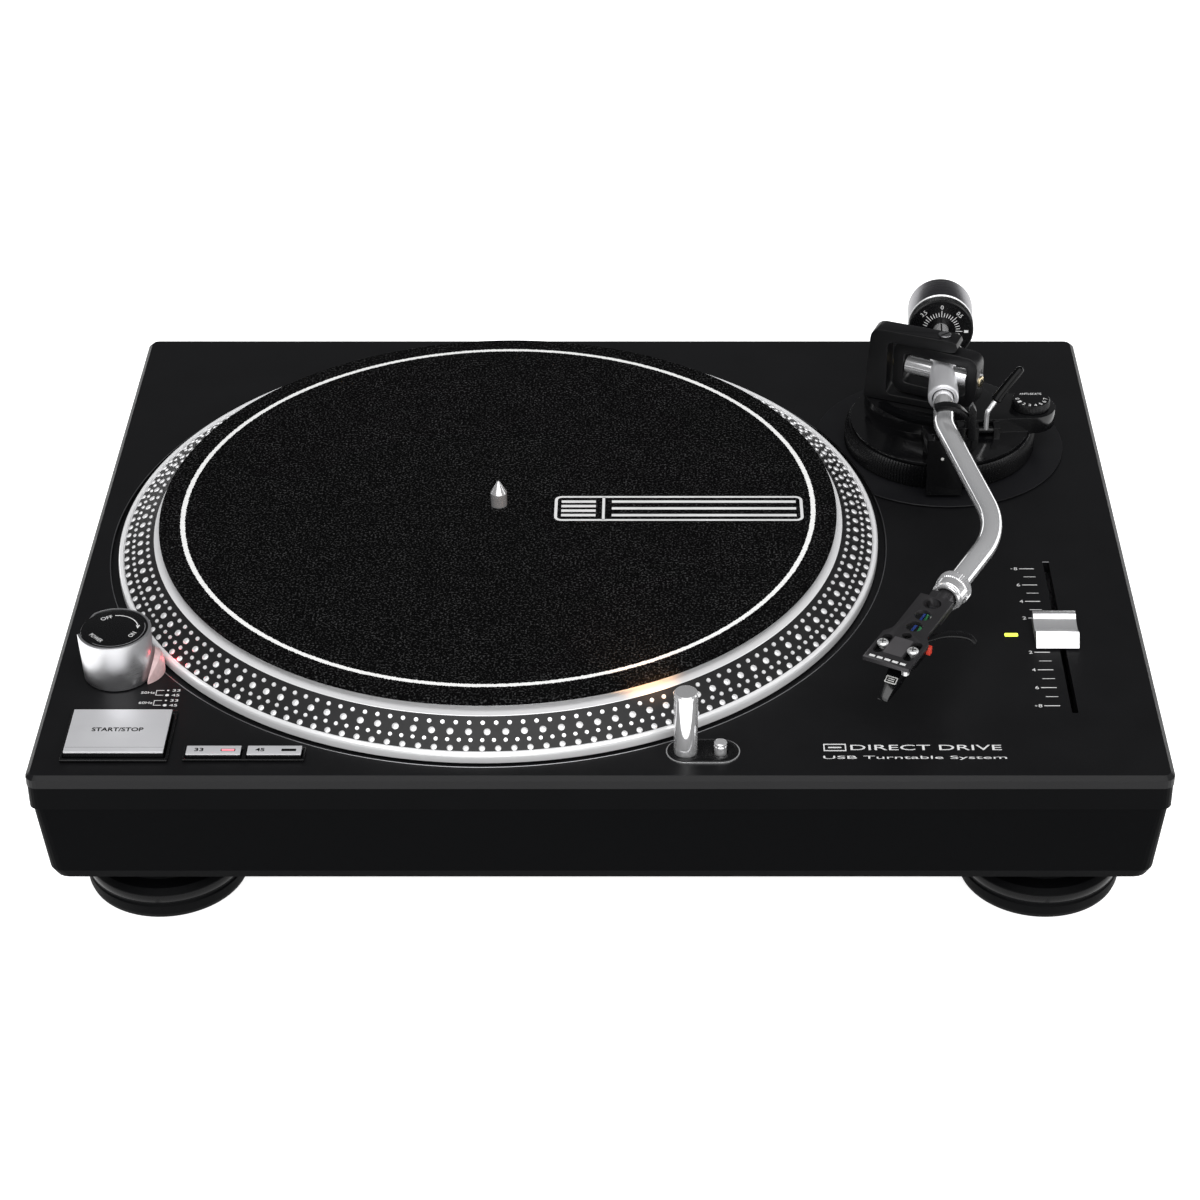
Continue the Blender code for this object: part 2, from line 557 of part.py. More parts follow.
def make_gimbal():
    frame = rounded_rectangle(20.4, 12.5, 4.5, 4, centre=(-2.4, AXLE_HEIGHT))
    window = rounded_rectangle(15.4, 7.6, 2.0, 4, centre=(-2.4, AXLE_HEIGHT))
    corners = ((-4.25, frame), (4.25, frame), (4.25, window), (-4.25, window))
    rows = [[(x, y, z) for x, z in outline] for y, outline in corners]
    ring = add_piece("gimbal_ring", loft(rows, ring=True), BLACK, (*PIVOT, 0), AXLE_TURN)
    cut(ring, cylinder(2.3, -25, 20, 20), PIVOT_POINT, AXLE_TURN @ ABOUT_Y)
    for name, sign, face in (("gimbal_screw_right", 1, 18.0), ("gimbal_screw_left", -1, 22.8)):
        shank = [(0, face - 5.1), (1.9, face - 5.1), (1.9, face + 0.3)]
        screw = turned(shank + [(2.6, face + 0.3), (2.6, face + 1.1), (0, face + 1.1)], 20)
        turn = AXLE_TURN @ Matrix.Rotation(math.radians(90 * sign), 4, "Y")
        add_piece(name, screw, GOLD, PIVOT_POINT, turn, roughness=0.25, metallic=1)


def make_arm():
    profile = [(0, -8), (5.6, -8), (6.1, -7.4), (6.1, 4), (6.9, 20)]
    profile += [(6.7, 23), (5.0, 23), (5.0, 11), (0, 11)]
    sleeve = turned(profile, 28)
    forward = HUB_TURN @ ABOUT_X
    hub = add_piece("arm_hub", sleeve, SILVER, PIVOT_POINT, forward, roughness=0.35, metallic=1)
    cut(hub, cylinder(4.3, -20, 20, 32), PIVOT_POINT, AXLE_TURN @ ABOUT_Y)
    cut(hub, cylinder(4.1, -12, -4.5, 24), PIVOT_POINT, REAR_TURN @ ABOUT_X)
    axle = cylinder(4.0, -17.4, 12.6, 32)
    add_piece("cross_shaft", axle, SILVER, PIVOT_POINT, AXLE_TURN @ ABOUT_Y, metallic=1)
    path = tube_path()
    tube = swept(path, [TUBE_RADIUS] * len(path), 16, TUBE_BORE)
    add_piece("arm_tube", tube, CHROME, (0, 0, 0), roughness=0.1, metallic=1)
    backward = REAR_TURN @ ABOUT_X.inverted()
    shaft = cylinder(3.7, 6.3, 77.0, 24)
    add_piece("counterweight_shaft", shaft, CHROME, PIVOT_POINT, backward, roughness=0.15, metallic=1)
    profile = [(4.9, -6.2), (5.5, -6.2), (6.7, -5.4), (7.3, -4.9), (7.3, -1.2), (6.7, -0.8)]
    profile += [(6.5, 3.6), (5.9, 4.0), (5.9, 5.2), (4.9, 5.2)]
    turn = SHELL_TURN @ ABOUT_X
    collar = turned(profile, 32)
    add_piece("locking_collar", collar, CHROME, COLLAR_CENTRE, turn, roughness=0.15, metallic=1)


def make_counterweight():
    backward = REAR_TURN @ ABOUT_X.inverted()
    dial = [(4.1, 47.0), (14.7, 47.0), (15.3, 47.6), (15.3, 53.0), (4.1, 53.0)]
    add_piece("weight_dial", turned(dial, 48), BLACK, PIVOT_POINT, backward)
    weight = [(8.3, 53.3), (14.6, 53.3), (15.3, 54.0), (15.3, 73.0), (14.3, 74.0), (8.3, 74.0)]
    drum = turned(weight, 48)
    add_piece("counterweight", drum, GUNMETAL, PIVOT_POINT, backward, roughness=0.35, metallic=1)
    sleeve = tube_ring(4.1, 8.0, 53.6, 73.7, 24)
    add_piece("counterweight_sleeve", sleeve, BLACK, PIVOT_POINT, backward)


def make_headshell():
    """The shell's plate lies above the arm's axis, on a neck that the locking collar clamps."""
    shell_origin = tuple(Vector(COLLAR_CENTRE) + SHELL_TURN @ SHELL_OFFSET)
    right = [(7.2, -12.6), (7.2, -37.4), (7.6, -39.6), (9.9, -43.2), (9.9, -62.3)]
    outline = [(-x, y) for x, y in reversed(right)] + right
    plate = prism(outline, 3.2, 5.0)
    shell = add_piece("headshell", plate, SATIN_BLACK, shell_origin, SHELL_TURN, roughness=0.4)
    join(shell, cylinder(4.2, 1.8, 14.0, 24), COLLAR_CENTRE, SHELL_TURN @ ABOUT_X)
    join(shell, box(-4.4, 4.4, -18.0, -6.4, -4.0, 3.6), shell_origin, SHELL_TURN)
    cut(shell, box(-3.3, 3.3, -19.0, -14.4, -5.0, 3.1), shell_origin, SHELL_TURN)
    for distance, radius in ((17.4, 3.7), (26.4, 3.6), (35.0, 3.5), (42.1, 2.0)):
        centre = Vector(shell_origin) + SHELL_TURN @ Vector((0, -distance, 0))
        cut(shell, cylinder(radius, 1, 8, 20), tuple(centre), SHELL_TURN)
    for x in (-6.5, 6.5):
        slot = rounded_rectangle(2.0, 6.7, 1.95, 4, centre=(x, -50.9))
        cut(shell, prism(slot, 1, 8), shell_origin, SHELL_TURN)

    curve = [(7.5, -36.4, 2.4, 2.8), (12.9, -31.4, 2.9, 2.3), (18.2, -29.2, 2.9, 1.8)]
    curve += [(21.8, -28.6, 2.3, 1.5), (24.4, -28.9, 0.6, 1.2)]
    sections = []
    for x, y, z, half in curve:
        corners = ((-half, -0.5), (half, -0.5), (half, 0.5), (-half, 0.5))
        sections.append([(x, y + across, z + up) for across, up in corners])
    add_piece("finger_lift", loft(sections), BLACK, shell_origin, SHELL_TURN)

    flange = box(-9.0, 9.0, -58.0, -40.6, 0.4, 3.0)
    body = add_piece("cartridge", flange, BLACK, shell_origin, SHELL_TURN)
    join(body, box(-5.0, 5.0, -45.5, -33.0, -9.0, 1.0), shell_origin, SHELL_TURN)
    side = [(-45.8, -2.0), (-51.5, -5.2), (-63.5, -11.4), (-64.3, -12.3), (-62.6, -12.9)]
    side += [(-54.0, -11.4), (-45.8, -9.6)]
    halves = [[(sign * (3.2 if y > -60 else 2.1), y, z) for y, z in side] for sign in (-1, 1)]
    stylus_assembly = add_piece("stylus_assembly", loft(halves), BLACK, shell_origin, SHELL_TURN)
    tip = turned([(0, -13.3), (0.35, -12.9), (0.6, -12.0), (0, -12.0)], 8)
    tip_place = Vector(shell_origin) + SHELL_TURN @ Vector((0, -62.6, 0))
    join(stylus_assembly, tip, tuple(tip_place), SHELL_TURN)


def make_feet():
    r = FOOT_RADIUS
    low = -DECK_HEIGHT
    profile = [(0, low), (r - 2.0, low), (r, low + 2.5), (r, low + 13), (r - 6, low + 17)]
    profile += [(r - 6, TUB_BOTTOM - 0.5), (6.0, TUB_BOTTOM - 0.5), (6.0, -47), (0, -47)]
    for name, centre in FOOT_CENTRES.items():
        add_piece(name, turned(profile, 32), BLACK, (*centre, 0), roughness=0.6)


def main():
    clear_scene()
    make_plinth()
    make_rear_connectors()
    make_internals()
    make_platter()
    make_power_knob()
    make_push_buttons()
    make_target_light()
    make_pitch_fader()
    make_arm_base()
    make_arm_rest()
    make_cue_lever()
    make_gimbal()
    make_arm()
    make_counterweight()
    make_headshell()
    make_feet()


main()
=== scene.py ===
"""The turntable's looks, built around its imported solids.

Shapes are drawn in millimetres in the deck frame: x right of the plinth's middle, y back from the front
of the deck's flat top, z above the deck. deck() and piece() turn them into metres in the row frame.
"""

import math

import bmesh
import bpy
from mathutils import Matrix, Vector


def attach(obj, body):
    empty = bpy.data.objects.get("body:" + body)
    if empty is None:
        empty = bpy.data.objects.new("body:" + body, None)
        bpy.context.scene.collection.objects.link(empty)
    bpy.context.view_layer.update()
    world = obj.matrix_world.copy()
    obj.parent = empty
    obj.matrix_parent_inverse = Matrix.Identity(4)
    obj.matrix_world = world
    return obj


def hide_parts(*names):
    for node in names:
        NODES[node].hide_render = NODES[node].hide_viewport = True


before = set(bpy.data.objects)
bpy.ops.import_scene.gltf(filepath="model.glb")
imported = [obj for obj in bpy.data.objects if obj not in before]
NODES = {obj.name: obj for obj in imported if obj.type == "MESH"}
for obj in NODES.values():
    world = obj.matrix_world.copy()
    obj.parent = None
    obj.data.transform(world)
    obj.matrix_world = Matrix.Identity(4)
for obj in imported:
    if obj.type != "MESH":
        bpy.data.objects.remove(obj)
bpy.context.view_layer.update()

MM = 0.001
DECK_TOP = 0.08
FRONT_EDGE = -0.17625
PRINT_THICK = 0.04
PRINT_LIFT = 0.03

PLATTER_CENTRE = (-46.75, 176.0)
PLATTER_TOP = 13.0
MAT_RADIUS = 147.5
MAT_TOP = 16.3
KNOB_CENTRE = (-198.7, 70.8)
LIGHT_POST = (33.6, 16.4)
LIGHT_BUTTON = (47.4, 16.4)
FADER = (188.9, 98.0)
FADER_TRAVEL = 50.5
FADER_MARKS = 8
FADER_STEP = FADER_TRAVEL / FADER_MARKS
PIVOT = (152.4, 254.5, 37.5)
COLLAR = (142.2, 82.9, 31.8)
ANTI_SKATE = (193.6, 254.35)
LEVER_PIVOT = (171.9, 238.6, 16.4)
KNOB_NOTCH = (131, 194)
KNOB_NOTCH_DEPTH = 7.0
KNOB_STEPS = 180
TUBE_SLOPE = 0.031
FEET = {
    "foot_front_left": (-181.0, 42.0),
    "foot_front_right": (181.0, 42.0),
    "foot_rear_left": (-181.0, 310.5),
    "foot_rear_right": (181.0, 310.5),
}


def rotation(degrees, axis):
    return Matrix.Rotation(math.radians(degrees), 4, axis)


ABOUT_X = rotation(90, "X")
ABOUT_Y = rotation(90, "Y")
SLOPE = Matrix.Rotation(math.atan(TUBE_SLOPE), 4, "X")
AXLE = rotation(-27.5, "Z")
HUB = rotation(-3.8, "Z") @ SLOPE
REAR = rotation(-3.8, "Z") @ rotation(-5.0, "X")
SHELL = rotation(-28.3, "Z") @ SLOPE
SHELL_SIDESTEP = -0.6
SHELL_ORIGIN = tuple(Vector(COLLAR) + SHELL @ Vector((SHELL_SIDESTEP, 0, 0)))


def deck(x, y, z):
    """A deck-frame point in millimetres as a row-frame point in metres."""
    return Vector((x * MM, FRONT_EDGE + y * MM, DECK_TOP + z * MM))


# ---- materials


class Graph:
    """Short calls for the nodes of one material."""

    def __init__(self, name):
        self.material = bpy.data.materials.new(name)
        self.material.use_nodes = True
        self.tree = self.material.node_tree
        self.shader = self.tree.nodes["Principled BSDF"]

    def add(self, kind, **settings):
        node = self.tree.nodes.new(kind)
        for key, value in settings.items():
            setattr(node, key, value)
        return node

    def link(self, source, target):
        self.tree.links.new(source, target)

    def noise(self, vector, scale, detail=3.0):
        node = self.add("ShaderNodeTexNoise")
        node.inputs["Scale"].default_value = scale
        node.inputs["Detail"].default_value = detail
        self.link(vector, node.inputs["Vector"])
        return node.outputs["Fac"]

    def remap(self, value, low, high, start=0.3, end=0.7):
        node = self.add("ShaderNodeMapRange")
        for key, number in (("From Min", start), ("From Max", end), ("To Min", low), ("To Max", high)):
            node.inputs[key].default_value = number
        self.link(value, node.inputs["Value"])
        return node.outputs["Result"]

    def math(self, operation, first, second, third=None):
        node = self.add("ShaderNodeMath", operation=operation)
        for socket, value in zip(node.inputs, (first, second, third)):
            if isinstance(value, (int, float)):
                socket.default_value = value
            elif value is not None:
                self.link(value, socket)
        return node.outputs[0]

    def mix(self, factor, first, second):
        node = self.add("ShaderNodeMix", data_type="RGBA")
        for socket, value in ((node.inputs[0], factor), (node.inputs[6], first), (node.inputs[7], second)):
            if isinstance(value, tuple):
                socket.default_value = (*value, 1.0)
            else:
                self.link(value, socket)
        return node.outputs[2]

    def bump(self, height, strength, distance):
        node = self.add("ShaderNodeBump")
        node.inputs["Strength"].default_value = strength
        node.inputs["Distance"].default_value = distance
        self.link(height, node.inputs["Height"])
        self.link(node.outputs["Normal"], self.shader.inputs["Normal"])

    def coordinates(self, kind, scale=(1, 1, 1), offset=(0, 0, 0)):
        source = self.add("ShaderNodeTexCoord")
        mapping = self.add("ShaderNodeMapping")
        mapping.inputs["Scale"].default_value = scale
        mapping.inputs["Location"].default_value = offset
        self.link(source.outputs[kind], mapping.inputs["Vector"])
        return mapping.outputs["Vector"]


def surface(
    name,
    color,
    roughness,
    metallic=0.0,
    specular=0.5,
    mottle=0.12,
    mottle_scale=45.0,
    spread=0.05,
    grain=2200.0,
    depth=0.00002,
    strength=0.25,
    stretch=(1, 1, 1),
    coords="Object",
    coat=0.0,
    sheen=0.0,
):
    """A finish whose colour and roughness drift a little over the surface, with a fine grain or brushing."""
    g = Graph(name)
    plain = g.coordinates("Object")
    fine = g.coordinates(coords, stretch)
    cloud = g.noise(plain, mottle_scale)
    dark = tuple(c * (1 - mottle) for c in color)
    light = tuple(min(1.0, c * (1 + mottle)) for c in color)
    g.link(g.mix(g.remap(cloud, 0, 1), dark, light), g.shader.inputs["Base Color"])
    texture = g.noise(fine, grain, 2.0)
    rough = g.math("ADD", g.remap(cloud, -spread / 2, spread / 2), g.remap(texture, -spread, spread))
    g.link(g.math("ADD", rough, roughness), g.shader.inputs["Roughness"])
    g.bump(texture, strength, depth)
    g.shader.inputs["Metallic"].default_value = metallic
    g.shader.inputs["Specular IOR Level"].default_value = specular
    g.shader.inputs["Coat Weight"].default_value = coat
    g.shader.inputs["Coat Roughness"].default_value = 0.08
    g.shader.inputs["Sheen Weight"].default_value = sheen
    return g.material


def glowing(name, color, strength):
    """A lit plastic lens, a little uneven over its face."""
    g = Graph(name)
    cloud = g.noise(g.coordinates("Object"), 500.0)
    tint = g.mix(g.remap(cloud, 0, 1), tuple(c * 0.8 for c in color), color)
    g.link(tint, g.shader.inputs["Base Color"])
    g.link(tint, g.shader.inputs["Emission Color"])
    g.shader.inputs["Emission Strength"].default_value = strength
    g.shader.inputs["Roughness"].default_value = 0.3
    return g.material


def felt(name):
    """Black felt: pale fibres, a soft nap and a printed ring near the edge."""
    g = Graph(name)
    plain = g.coordinates("Object")
    x, y = PLATTER_CENTRE
    centre = deck(x, y, 0)
    flat = g.coordinates("Object", (1, 1, 0), (-centre.x, -centre.y, 0))
    distance = g.add("ShaderNodeVectorMath", operation="LENGTH")
    g.link(flat, distance.inputs[0])
    fray = g.remap(g.noise(plain, 1500.0), -0.00025, 0.00025)
    ring = g.math("COMPARE", g.math("ADD", distance.outputs["Value"], fray), 0.1372, 0.001)
    fleck = g.remap(g.noise(plain, 1100.0, 6.0), 0, 1, 0.53, 0.68)
    patch = g.remap(g.noise(plain, 120.0, 4.0), 0.5, 1.0)
    fibres = g.mix(g.math("MULTIPLY", fleck, patch), (0.0012, 0.0012, 0.0013), (0.06, 0.06, 0.061))
    print_white = g.mix(g.remap(g.noise(plain, 1800.0), 0, 1), (0.75, 0.75, 0.74), (0.95, 0.95, 0.94))
    g.link(g.mix(ring, fibres, print_white), g.shader.inputs["Base Color"])
    g.bump(g.noise(plain, 1100.0, 5.0), 0.7, 0.0003)
    g.shader.inputs["Roughness"].default_value = 0.95
    g.shader.inputs["Specular IOR Level"].default_value = 0.04
    return g.material


LATHE = {"coords": "UV", "stretch": (25, 9000, 1), "grain": 1.0}
DECK_BLACK = surface("deck_satin_black", (0.006, 0.006, 0.0066), 0.36, specular=0.17, mottle=0.1,
                     grain=1900.0,
                     depth=0.00006, strength=0.35, spread=0.06)
FRAME_BLACK = surface("frame_satin_black", (0.0012, 0.0013, 0.0016), 0.42, specular=0.035, grain=1900.0)
TUB_BLACK = surface("tub_matte_black", (0.0008, 0.0009, 0.0012), 0.5, specular=0.025, grain=1200.0,
                    strength=0.4,
                    depth=0.00005)
TRIM_BLACK = surface("trim_black", (0.003, 0.003, 0.0034), 0.28, specular=0.28)
GLOSS_BLACK = surface("arm_base_gloss_black", (0.0028, 0.0028, 0.0032), 0.15, specular=0.4, strength=0.08,
                      coat=0.05)
DISC_BLACK = surface("disc_satin_black", (0.006, 0.006, 0.007), 0.36, specular=0.22)
YOKE_BLACK = surface("yoke_satin_black", (0.0045, 0.0045, 0.005), 0.36, specular=0.3, grain=1600.0,
                     depth=0.00005,
                     strength=0.5)
SHELL_GREY = surface("headshell_anodised", (0.055, 0.053, 0.056), 0.42, metallic=0.7, grain=2500.0)
PANEL_GREY = surface("headshell_panel", (0.11, 0.105, 0.11), 0.45, metallic=0.5, grain=2500.0)
SILVER = surface("turned_silver", (0.72, 0.72, 0.735), 0.34, metallic=1.0, mottle=0.03, strength=0.25,
                 depth=0.00003, spread=0.08, **LATHE)
HUB_SILVER = surface("hub_satin_silver", (0.74, 0.74, 0.76), 0.4, metallic=0.6, mottle=0.03)
RIM_SILVER = surface("polished_rim", (0.96, 0.96, 0.97), 0.2, metallic=0.25, mottle=0.02, strength=0.15,
                     spread=0.03,
                     **LATHE)
DOT_SILVER = surface("dot_silver", (0.92, 0.92, 0.93), 0.28, metallic=0.4, mottle=0.03, grain=4000.0,
                     strength=0.15)
BAND_GREY = surface("strobe_band", (0.012, 0.0118, 0.0125), 0.42, specular=0.3, mottle=0.15,
                    grain=1800.0, depth=0.00005, strength=0.4)
CHROME = surface("chrome", (0.88, 0.88, 0.89), 0.07, metallic=0.72, mottle=0.02, spread=0.02, strength=0.03)
SATIN_CHROME = surface("satin_chrome", (0.8, 0.8, 0.81), 0.17, metallic=0.75, mottle=0.03, spread=0.03,
                       strength=0.08)
BUTTON_SILVER = surface("button_brushed_silver", (0.7, 0.7, 0.72), 0.4, metallic=0.4, mottle=0.03,
                        stretch=(1, 30, 30), grain=120.0, spread=0.07, strength=0.12)
GUNMETAL = surface("gunmetal", (0.12, 0.117, 0.13), 0.3, metallic=1.0, mottle=0.06, spread=0.05,
                   strength=0.2,
                   **LATHE)
# Grey metal for the well's edge bead, lighter than the black deck: a painted highlight.
WELL_EDGE_HIGHLIGHT_GREY = surface("well_edge_painted_highlight", (0.3, 0.3, 0.31), 0.35, metallic=1.0, mottle=0.05)
GOLD = surface("brass_screw", (0.78, 0.66, 0.42), 0.22, metallic=1.0, mottle=0.05)
STEEL = surface("bright_steel", (0.36, 0.36, 0.37), 0.3, metallic=1.0, mottle=0.05)
MAGNET = surface("ferrite", (0.06, 0.06, 0.062), 0.5, metallic=0.4, mottle=0.2)
BOARD = surface("circuit_board", (0.02, 0.09, 0.04), 0.45, mottle=0.25, mottle_scale=300.0)
COPPER = surface("motor_windings", (0.45, 0.2, 0.08), 0.35, metallic=0.8, stretch=(1, 1, 40), grain=80.0)
RUBBER = surface("foot_rubber", (0.001, 0.0011, 0.0014), 0.55, specular=0.05, grain=900.0, depth=0.00008,
                 strength=0.4)
RUBBER_GLOSS = surface("foot_ring", (0.0015, 0.0015, 0.0018), 0.25, specular=0.15)
INK_WHITE = surface("printed_white", (0.72, 0.72, 0.72), 0.6, mottle=0.08, grain=3000.0)
# Grey print, also used for the painted highlight arc on the power knob's cap rim.
GREY_PRINT_AND_HIGHLIGHT = surface("grey_print_and_painted_highlight", (0.28, 0.28, 0.29), 0.6, mottle=0.1)
INK_BLACK = surface("printed_black", (0.004, 0.004, 0.004), 0.6, specular=0.1, mottle=0.1)
WHITE_METAL = surface("bright_zinc", (0.9, 0.9, 0.9), 0.35, metallic=0.7, mottle=0.04)
WHITE_PLASTIC = surface("white_plastic", (0.72, 0.72, 0.7), 0.35, mottle=0.05)
RED_WIRE = surface("red_insulation", (0.55, 0.04, 0.02), 0.4)
GREEN_WIRE = surface("green_insulation", (0.03, 0.25, 0.08), 0.4)
BLUE_WIRE = surface("blue_insulation", (0.03, 0.08, 0.4), 0.4)
FELT = felt("slipmat_felt")
STROBE_PINK = glowing("strobe_lens", (0.6, 0.42, 0.42), 0.15)
LAMP_RED = glowing("speed_lamp_red", (0.95, 0.25, 0.3), 0.9)
LAMP_GREEN = glowing("zero_lamp", (0.72, 0.9, 0.08), 1.6)
LAMP_WARM = glowing("target_lens", (1.0, 0.8, 0.55), 2.5)


# ---- shapes


def loft(sections, ring=False):
    """Skins closed sections in order; ring joins the last to the first instead of capping both ends."""
    bm = bmesh.new()
    rows = [[bm.verts.new(point) for point in section] for section in sections]
    pairs = list(zip(rows, rows[1:]))
    if ring:
        pairs.append((rows[-1], rows[0]))
    else:
        bm.faces.new(rows[0])
        bm.faces.new(rows[-1])
    for low, high in pairs:
        for i in range(len(low)):
            j = (i + 1) % len(low)
            bm.faces.new((low[i], low[j], high[j], high[i]))
    return bm


def prism(outline, low, high):
    return loft([[(x, y, z) for x, y in outline] for z in (low, high)])


def box(x0, x1, y0, y1, z0, z1, edge=0.0, segments=3):
    bm = prism([(x0, y0), (x1, y0), (x1, y1), (x0, y1)], z0, z1)
    if edge:
        bmesh.ops.bevel(bm, geom=bm.edges[:], offset=edge, segments=segments, profile=0.6, affect="EDGES")
    return bm


def arc(cx, cy, radius, start, end, steps):
    angles = [math.radians(start + (end - start) * i / steps) for i in range(steps + 1)]
    return [(cx + radius * math.cos(a), cy + radius * math.sin(a)) for a in angles]


def rounded_rectangle(half_x, half_y, radius, steps=5, centre=(0.0, 0.0)):
    points = []
    for sx, sy, start in ((1, 1, 0), (-1, 1, 90), (-1, -1, 180), (1, -1, 270)):
        corner = (centre[0] + sx * (half_x - radius), centre[1] + sy * (half_y - radius))
        points += arc(*corner, radius, start, start + 90, steps)
    return points


def softened(profile, radius, steps=3):
    """The profile with its inner corners rounded."""
    points = [Vector((*p, 0)) for p in profile]
    made = [profile[0]]
    for before, corner, after in zip(points, points[1:], points[2:]):
        into, out = before - corner, after - corner
        if into.length < 1e-6 or out.length < 1e-6 or into.angle(out) > math.radians(172):
            made.append(tuple(corner[:2]))
            continue
        half = into.angle(out) / 2
        reach = min(radius / math.tan(half), 0.45 * into.length, 0.45 * out.length)
        first, last = corner + into.normalized() * reach, corner + out.normalized() * reach
        for i in range(steps + 1):
            t = i / steps
            point = first * (1 - t) ** 2 + corner * 2 * t * (1 - t) + last * t**2
            made.append(tuple(point[:2]))
    return made + [profile[-1]]


def lathe(profile, steps=96, soft=0.0, ribs=None):
    """Turns (radius, height) points about z, with UVs in metres along and across the turning. ribs is
    (lowest height, highest height, depth): between them every other line is pushed in, as knurling."""
    if soft:
        profile = softened(profile, soft)
    bm = bmesh.new()
    uv = bm.loops.layers.uv.new("turning")
    lengths = [0.0]
    for a, b in zip(profile, profile[1:]):
        lengths.append(lengths[-1] + math.dist(a, b))
    rows = []
    for radius, height in profile:
        if radius < 1e-6:
            rows.append([bm.verts.new((0, 0, height))])
            continue
        row = []
        for i in range(steps):
            pushed = ribs and ribs[0] <= height <= ribs[1] and i % 2
            r = radius - (ribs[2] if pushed else 0.0)
            a = 2 * math.pi * i / steps
            row.append(bm.verts.new((r * math.cos(a), r * math.sin(a), height)))
        rows.append(row)
    pairs = [(i, i + 1) for i in range(len(rows) - 1)]
    if len(rows[0]) > 1 and len(rows[-1]) > 1:
        pairs.append((len(rows) - 1, 0))
    around = 2 * math.pi * max(r for r, _ in profile) * MM / steps
    for low, high in pairs:
        for i in range(steps):
            j = (i + 1) % steps
            corners = []
            for k, row, side in ((i, low, 0), (i + 1, low, 0), (i + 1, high, 1), (i, high, 1)):
                vertex = rows[row][k % len(rows[row])]
                corners.append((vertex, (k * around, lengths[row] * MM)))
            unique = list(dict.fromkeys(vertex for vertex, _ in corners))
            if len(unique) < 3:
                continue
            face = bm.faces.new(unique)
            places = {}
            for vertex, place in corners:
                places.setdefault(vertex, place)
            for loop in face.loops:
                loop[uv].uv = places[loop.vert]
    return bm


def sweep(path, radii, steps=24, bore=None, flat=1.0):
    """A round bar along points, or a tube where a bore is given."""
    points = [Vector(p) for p in path]
    across = Vector((1, 0, 0))
    outer, inner = [], []
    for i, point in enumerate(points):
        ahead = (points[min(i + 1, len(points) - 1)] - points[max(i - 1, 0)]).normalized()
        side = (across - ahead * across.dot(ahead)).normalized()
        up = ahead.cross(side)
        radius = radii[i] if isinstance(radii, (list, tuple)) else radii
        spokes = [
            side * math.cos(2 * math.pi * k / steps) + up * flat * math.sin(2 * math.pi * k / steps)
            for k in range(steps)
        ]
        outer.append([point + spoke * radius for spoke in spokes])
        if bore:
            inner.append([point + spoke * bore for spoke in spokes])
    return loft(outer + inner[::-1], ring=True) if bore else loft(outer)


def smooth_path(points, steps=8):
    """Catmull-Rom points through the given ones."""
    p = [Vector(q) for q in points]
    p = [p[0] * 2 - p[1], *p, p[-1] * 2 - p[-2]]
    made = []
    for a, b, c, d in zip(p, p[1:], p[2:], p[3:]):
        for i in range(steps):
            t = i / steps
            square, cube = 2 * a - 5 * b + 4 * c - d, 3 * b - a - 3 * c + d
            made.append(0.5 * (2 * b + (c - a) * t + square * t * t + cube * t**3))
    return made + [p[-2]]


def merged(shapes):
    whole = bmesh.new()
    for shape in shapes:
        mesh = bpy.data.meshes.new("part")
        shape.to_mesh(mesh)
        shape.free()
        whole.from_mesh(mesh)
        bpy.data.meshes.remove(mesh)
    return whole


def moved(bm, origin=(0, 0, 0), turn=None):
    bm.transform(Matrix.Translation(origin) @ (turn or Matrix.Identity(4)))
    return bm


def letters(text, centre, size, turn=0.0, thick=PRINT_THICK, weight=0.0):
    """Raised print: text fitted to size = (width, height), about its centre."""
    curve = bpy.data.curves.new("letters", "FONT")
    curve.body = text
    curve.offset = weight
    curve.extrude = thick / 2
    curve.resolution_u = 4
    obj = bpy.data.objects.new("letters", curve)
    mesh = bpy.data.meshes.new_from_object(obj)
    bpy.data.objects.remove(obj)
    bpy.data.curves.remove(curve)
    xs, ys = [v.co.x for v in mesh.vertices], [v.co.y for v in mesh.vertices]
    width, height = size
    scale = Matrix.Diagonal((width / (max(xs) - min(xs)), height / (max(ys) - min(ys)), 1, 1))
    middle = Matrix.Translation((-(max(xs) + min(xs)) / 2, -(max(ys) + min(ys)) / 2, 0))
    mesh.transform(Matrix.Translation((*centre, 0)) @ rotation(turn, "Z") @ scale @ middle)
    bm = bmesh.new()
    bm.from_mesh(mesh)
    bpy.data.meshes.remove(mesh)
    bmesh.ops.remove_doubles(bm, verts=bm.verts, dist=1e-5)
    return bm


def bar(x0, x1, y0, y1, thick=PRINT_THICK):
    return box(x0, x1, y0, y1, -thick / 2, thick / 2)


def ring_bar(centre, radius, width, start, end, thick=PRINT_THICK, steps=40):
    outline = arc(*centre, radius + width / 2, start, end, steps)
    outline += arc(*centre, radius - width / 2, end, start, steps)
    return prism(outline, -thick / 2, thick / 2)


def link(name, mesh, finish, body, stands_for):
    mesh.materials.clear()
    mesh.materials.append(finish)
    obj = bpy.data.objects.new(name, mesh)
    bpy.context.scene.collection.objects.link(obj)
    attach(obj, body)
    if stands_for:
        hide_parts(*stands_for)
    return obj


def piece(name, bm, finish, body, origin=(0, 0, 0), turn=None, stands_for=(), sharp=32):
    bmesh.ops.recalc_face_normals(bm, faces=bm.faces)
    bm.transform(Matrix.Translation(deck(*origin)) @ (turn or Matrix.Identity(4)) @ Matrix.Scale(MM, 4))
    mesh = bpy.data.meshes.new(name)
    bm.to_mesh(mesh)
    bm.free()
    mesh.shade_smooth()
    mesh.set_sharp_from_angle(angle=math.radians(sharp))
    return link(name, mesh, finish, body, stands_for)


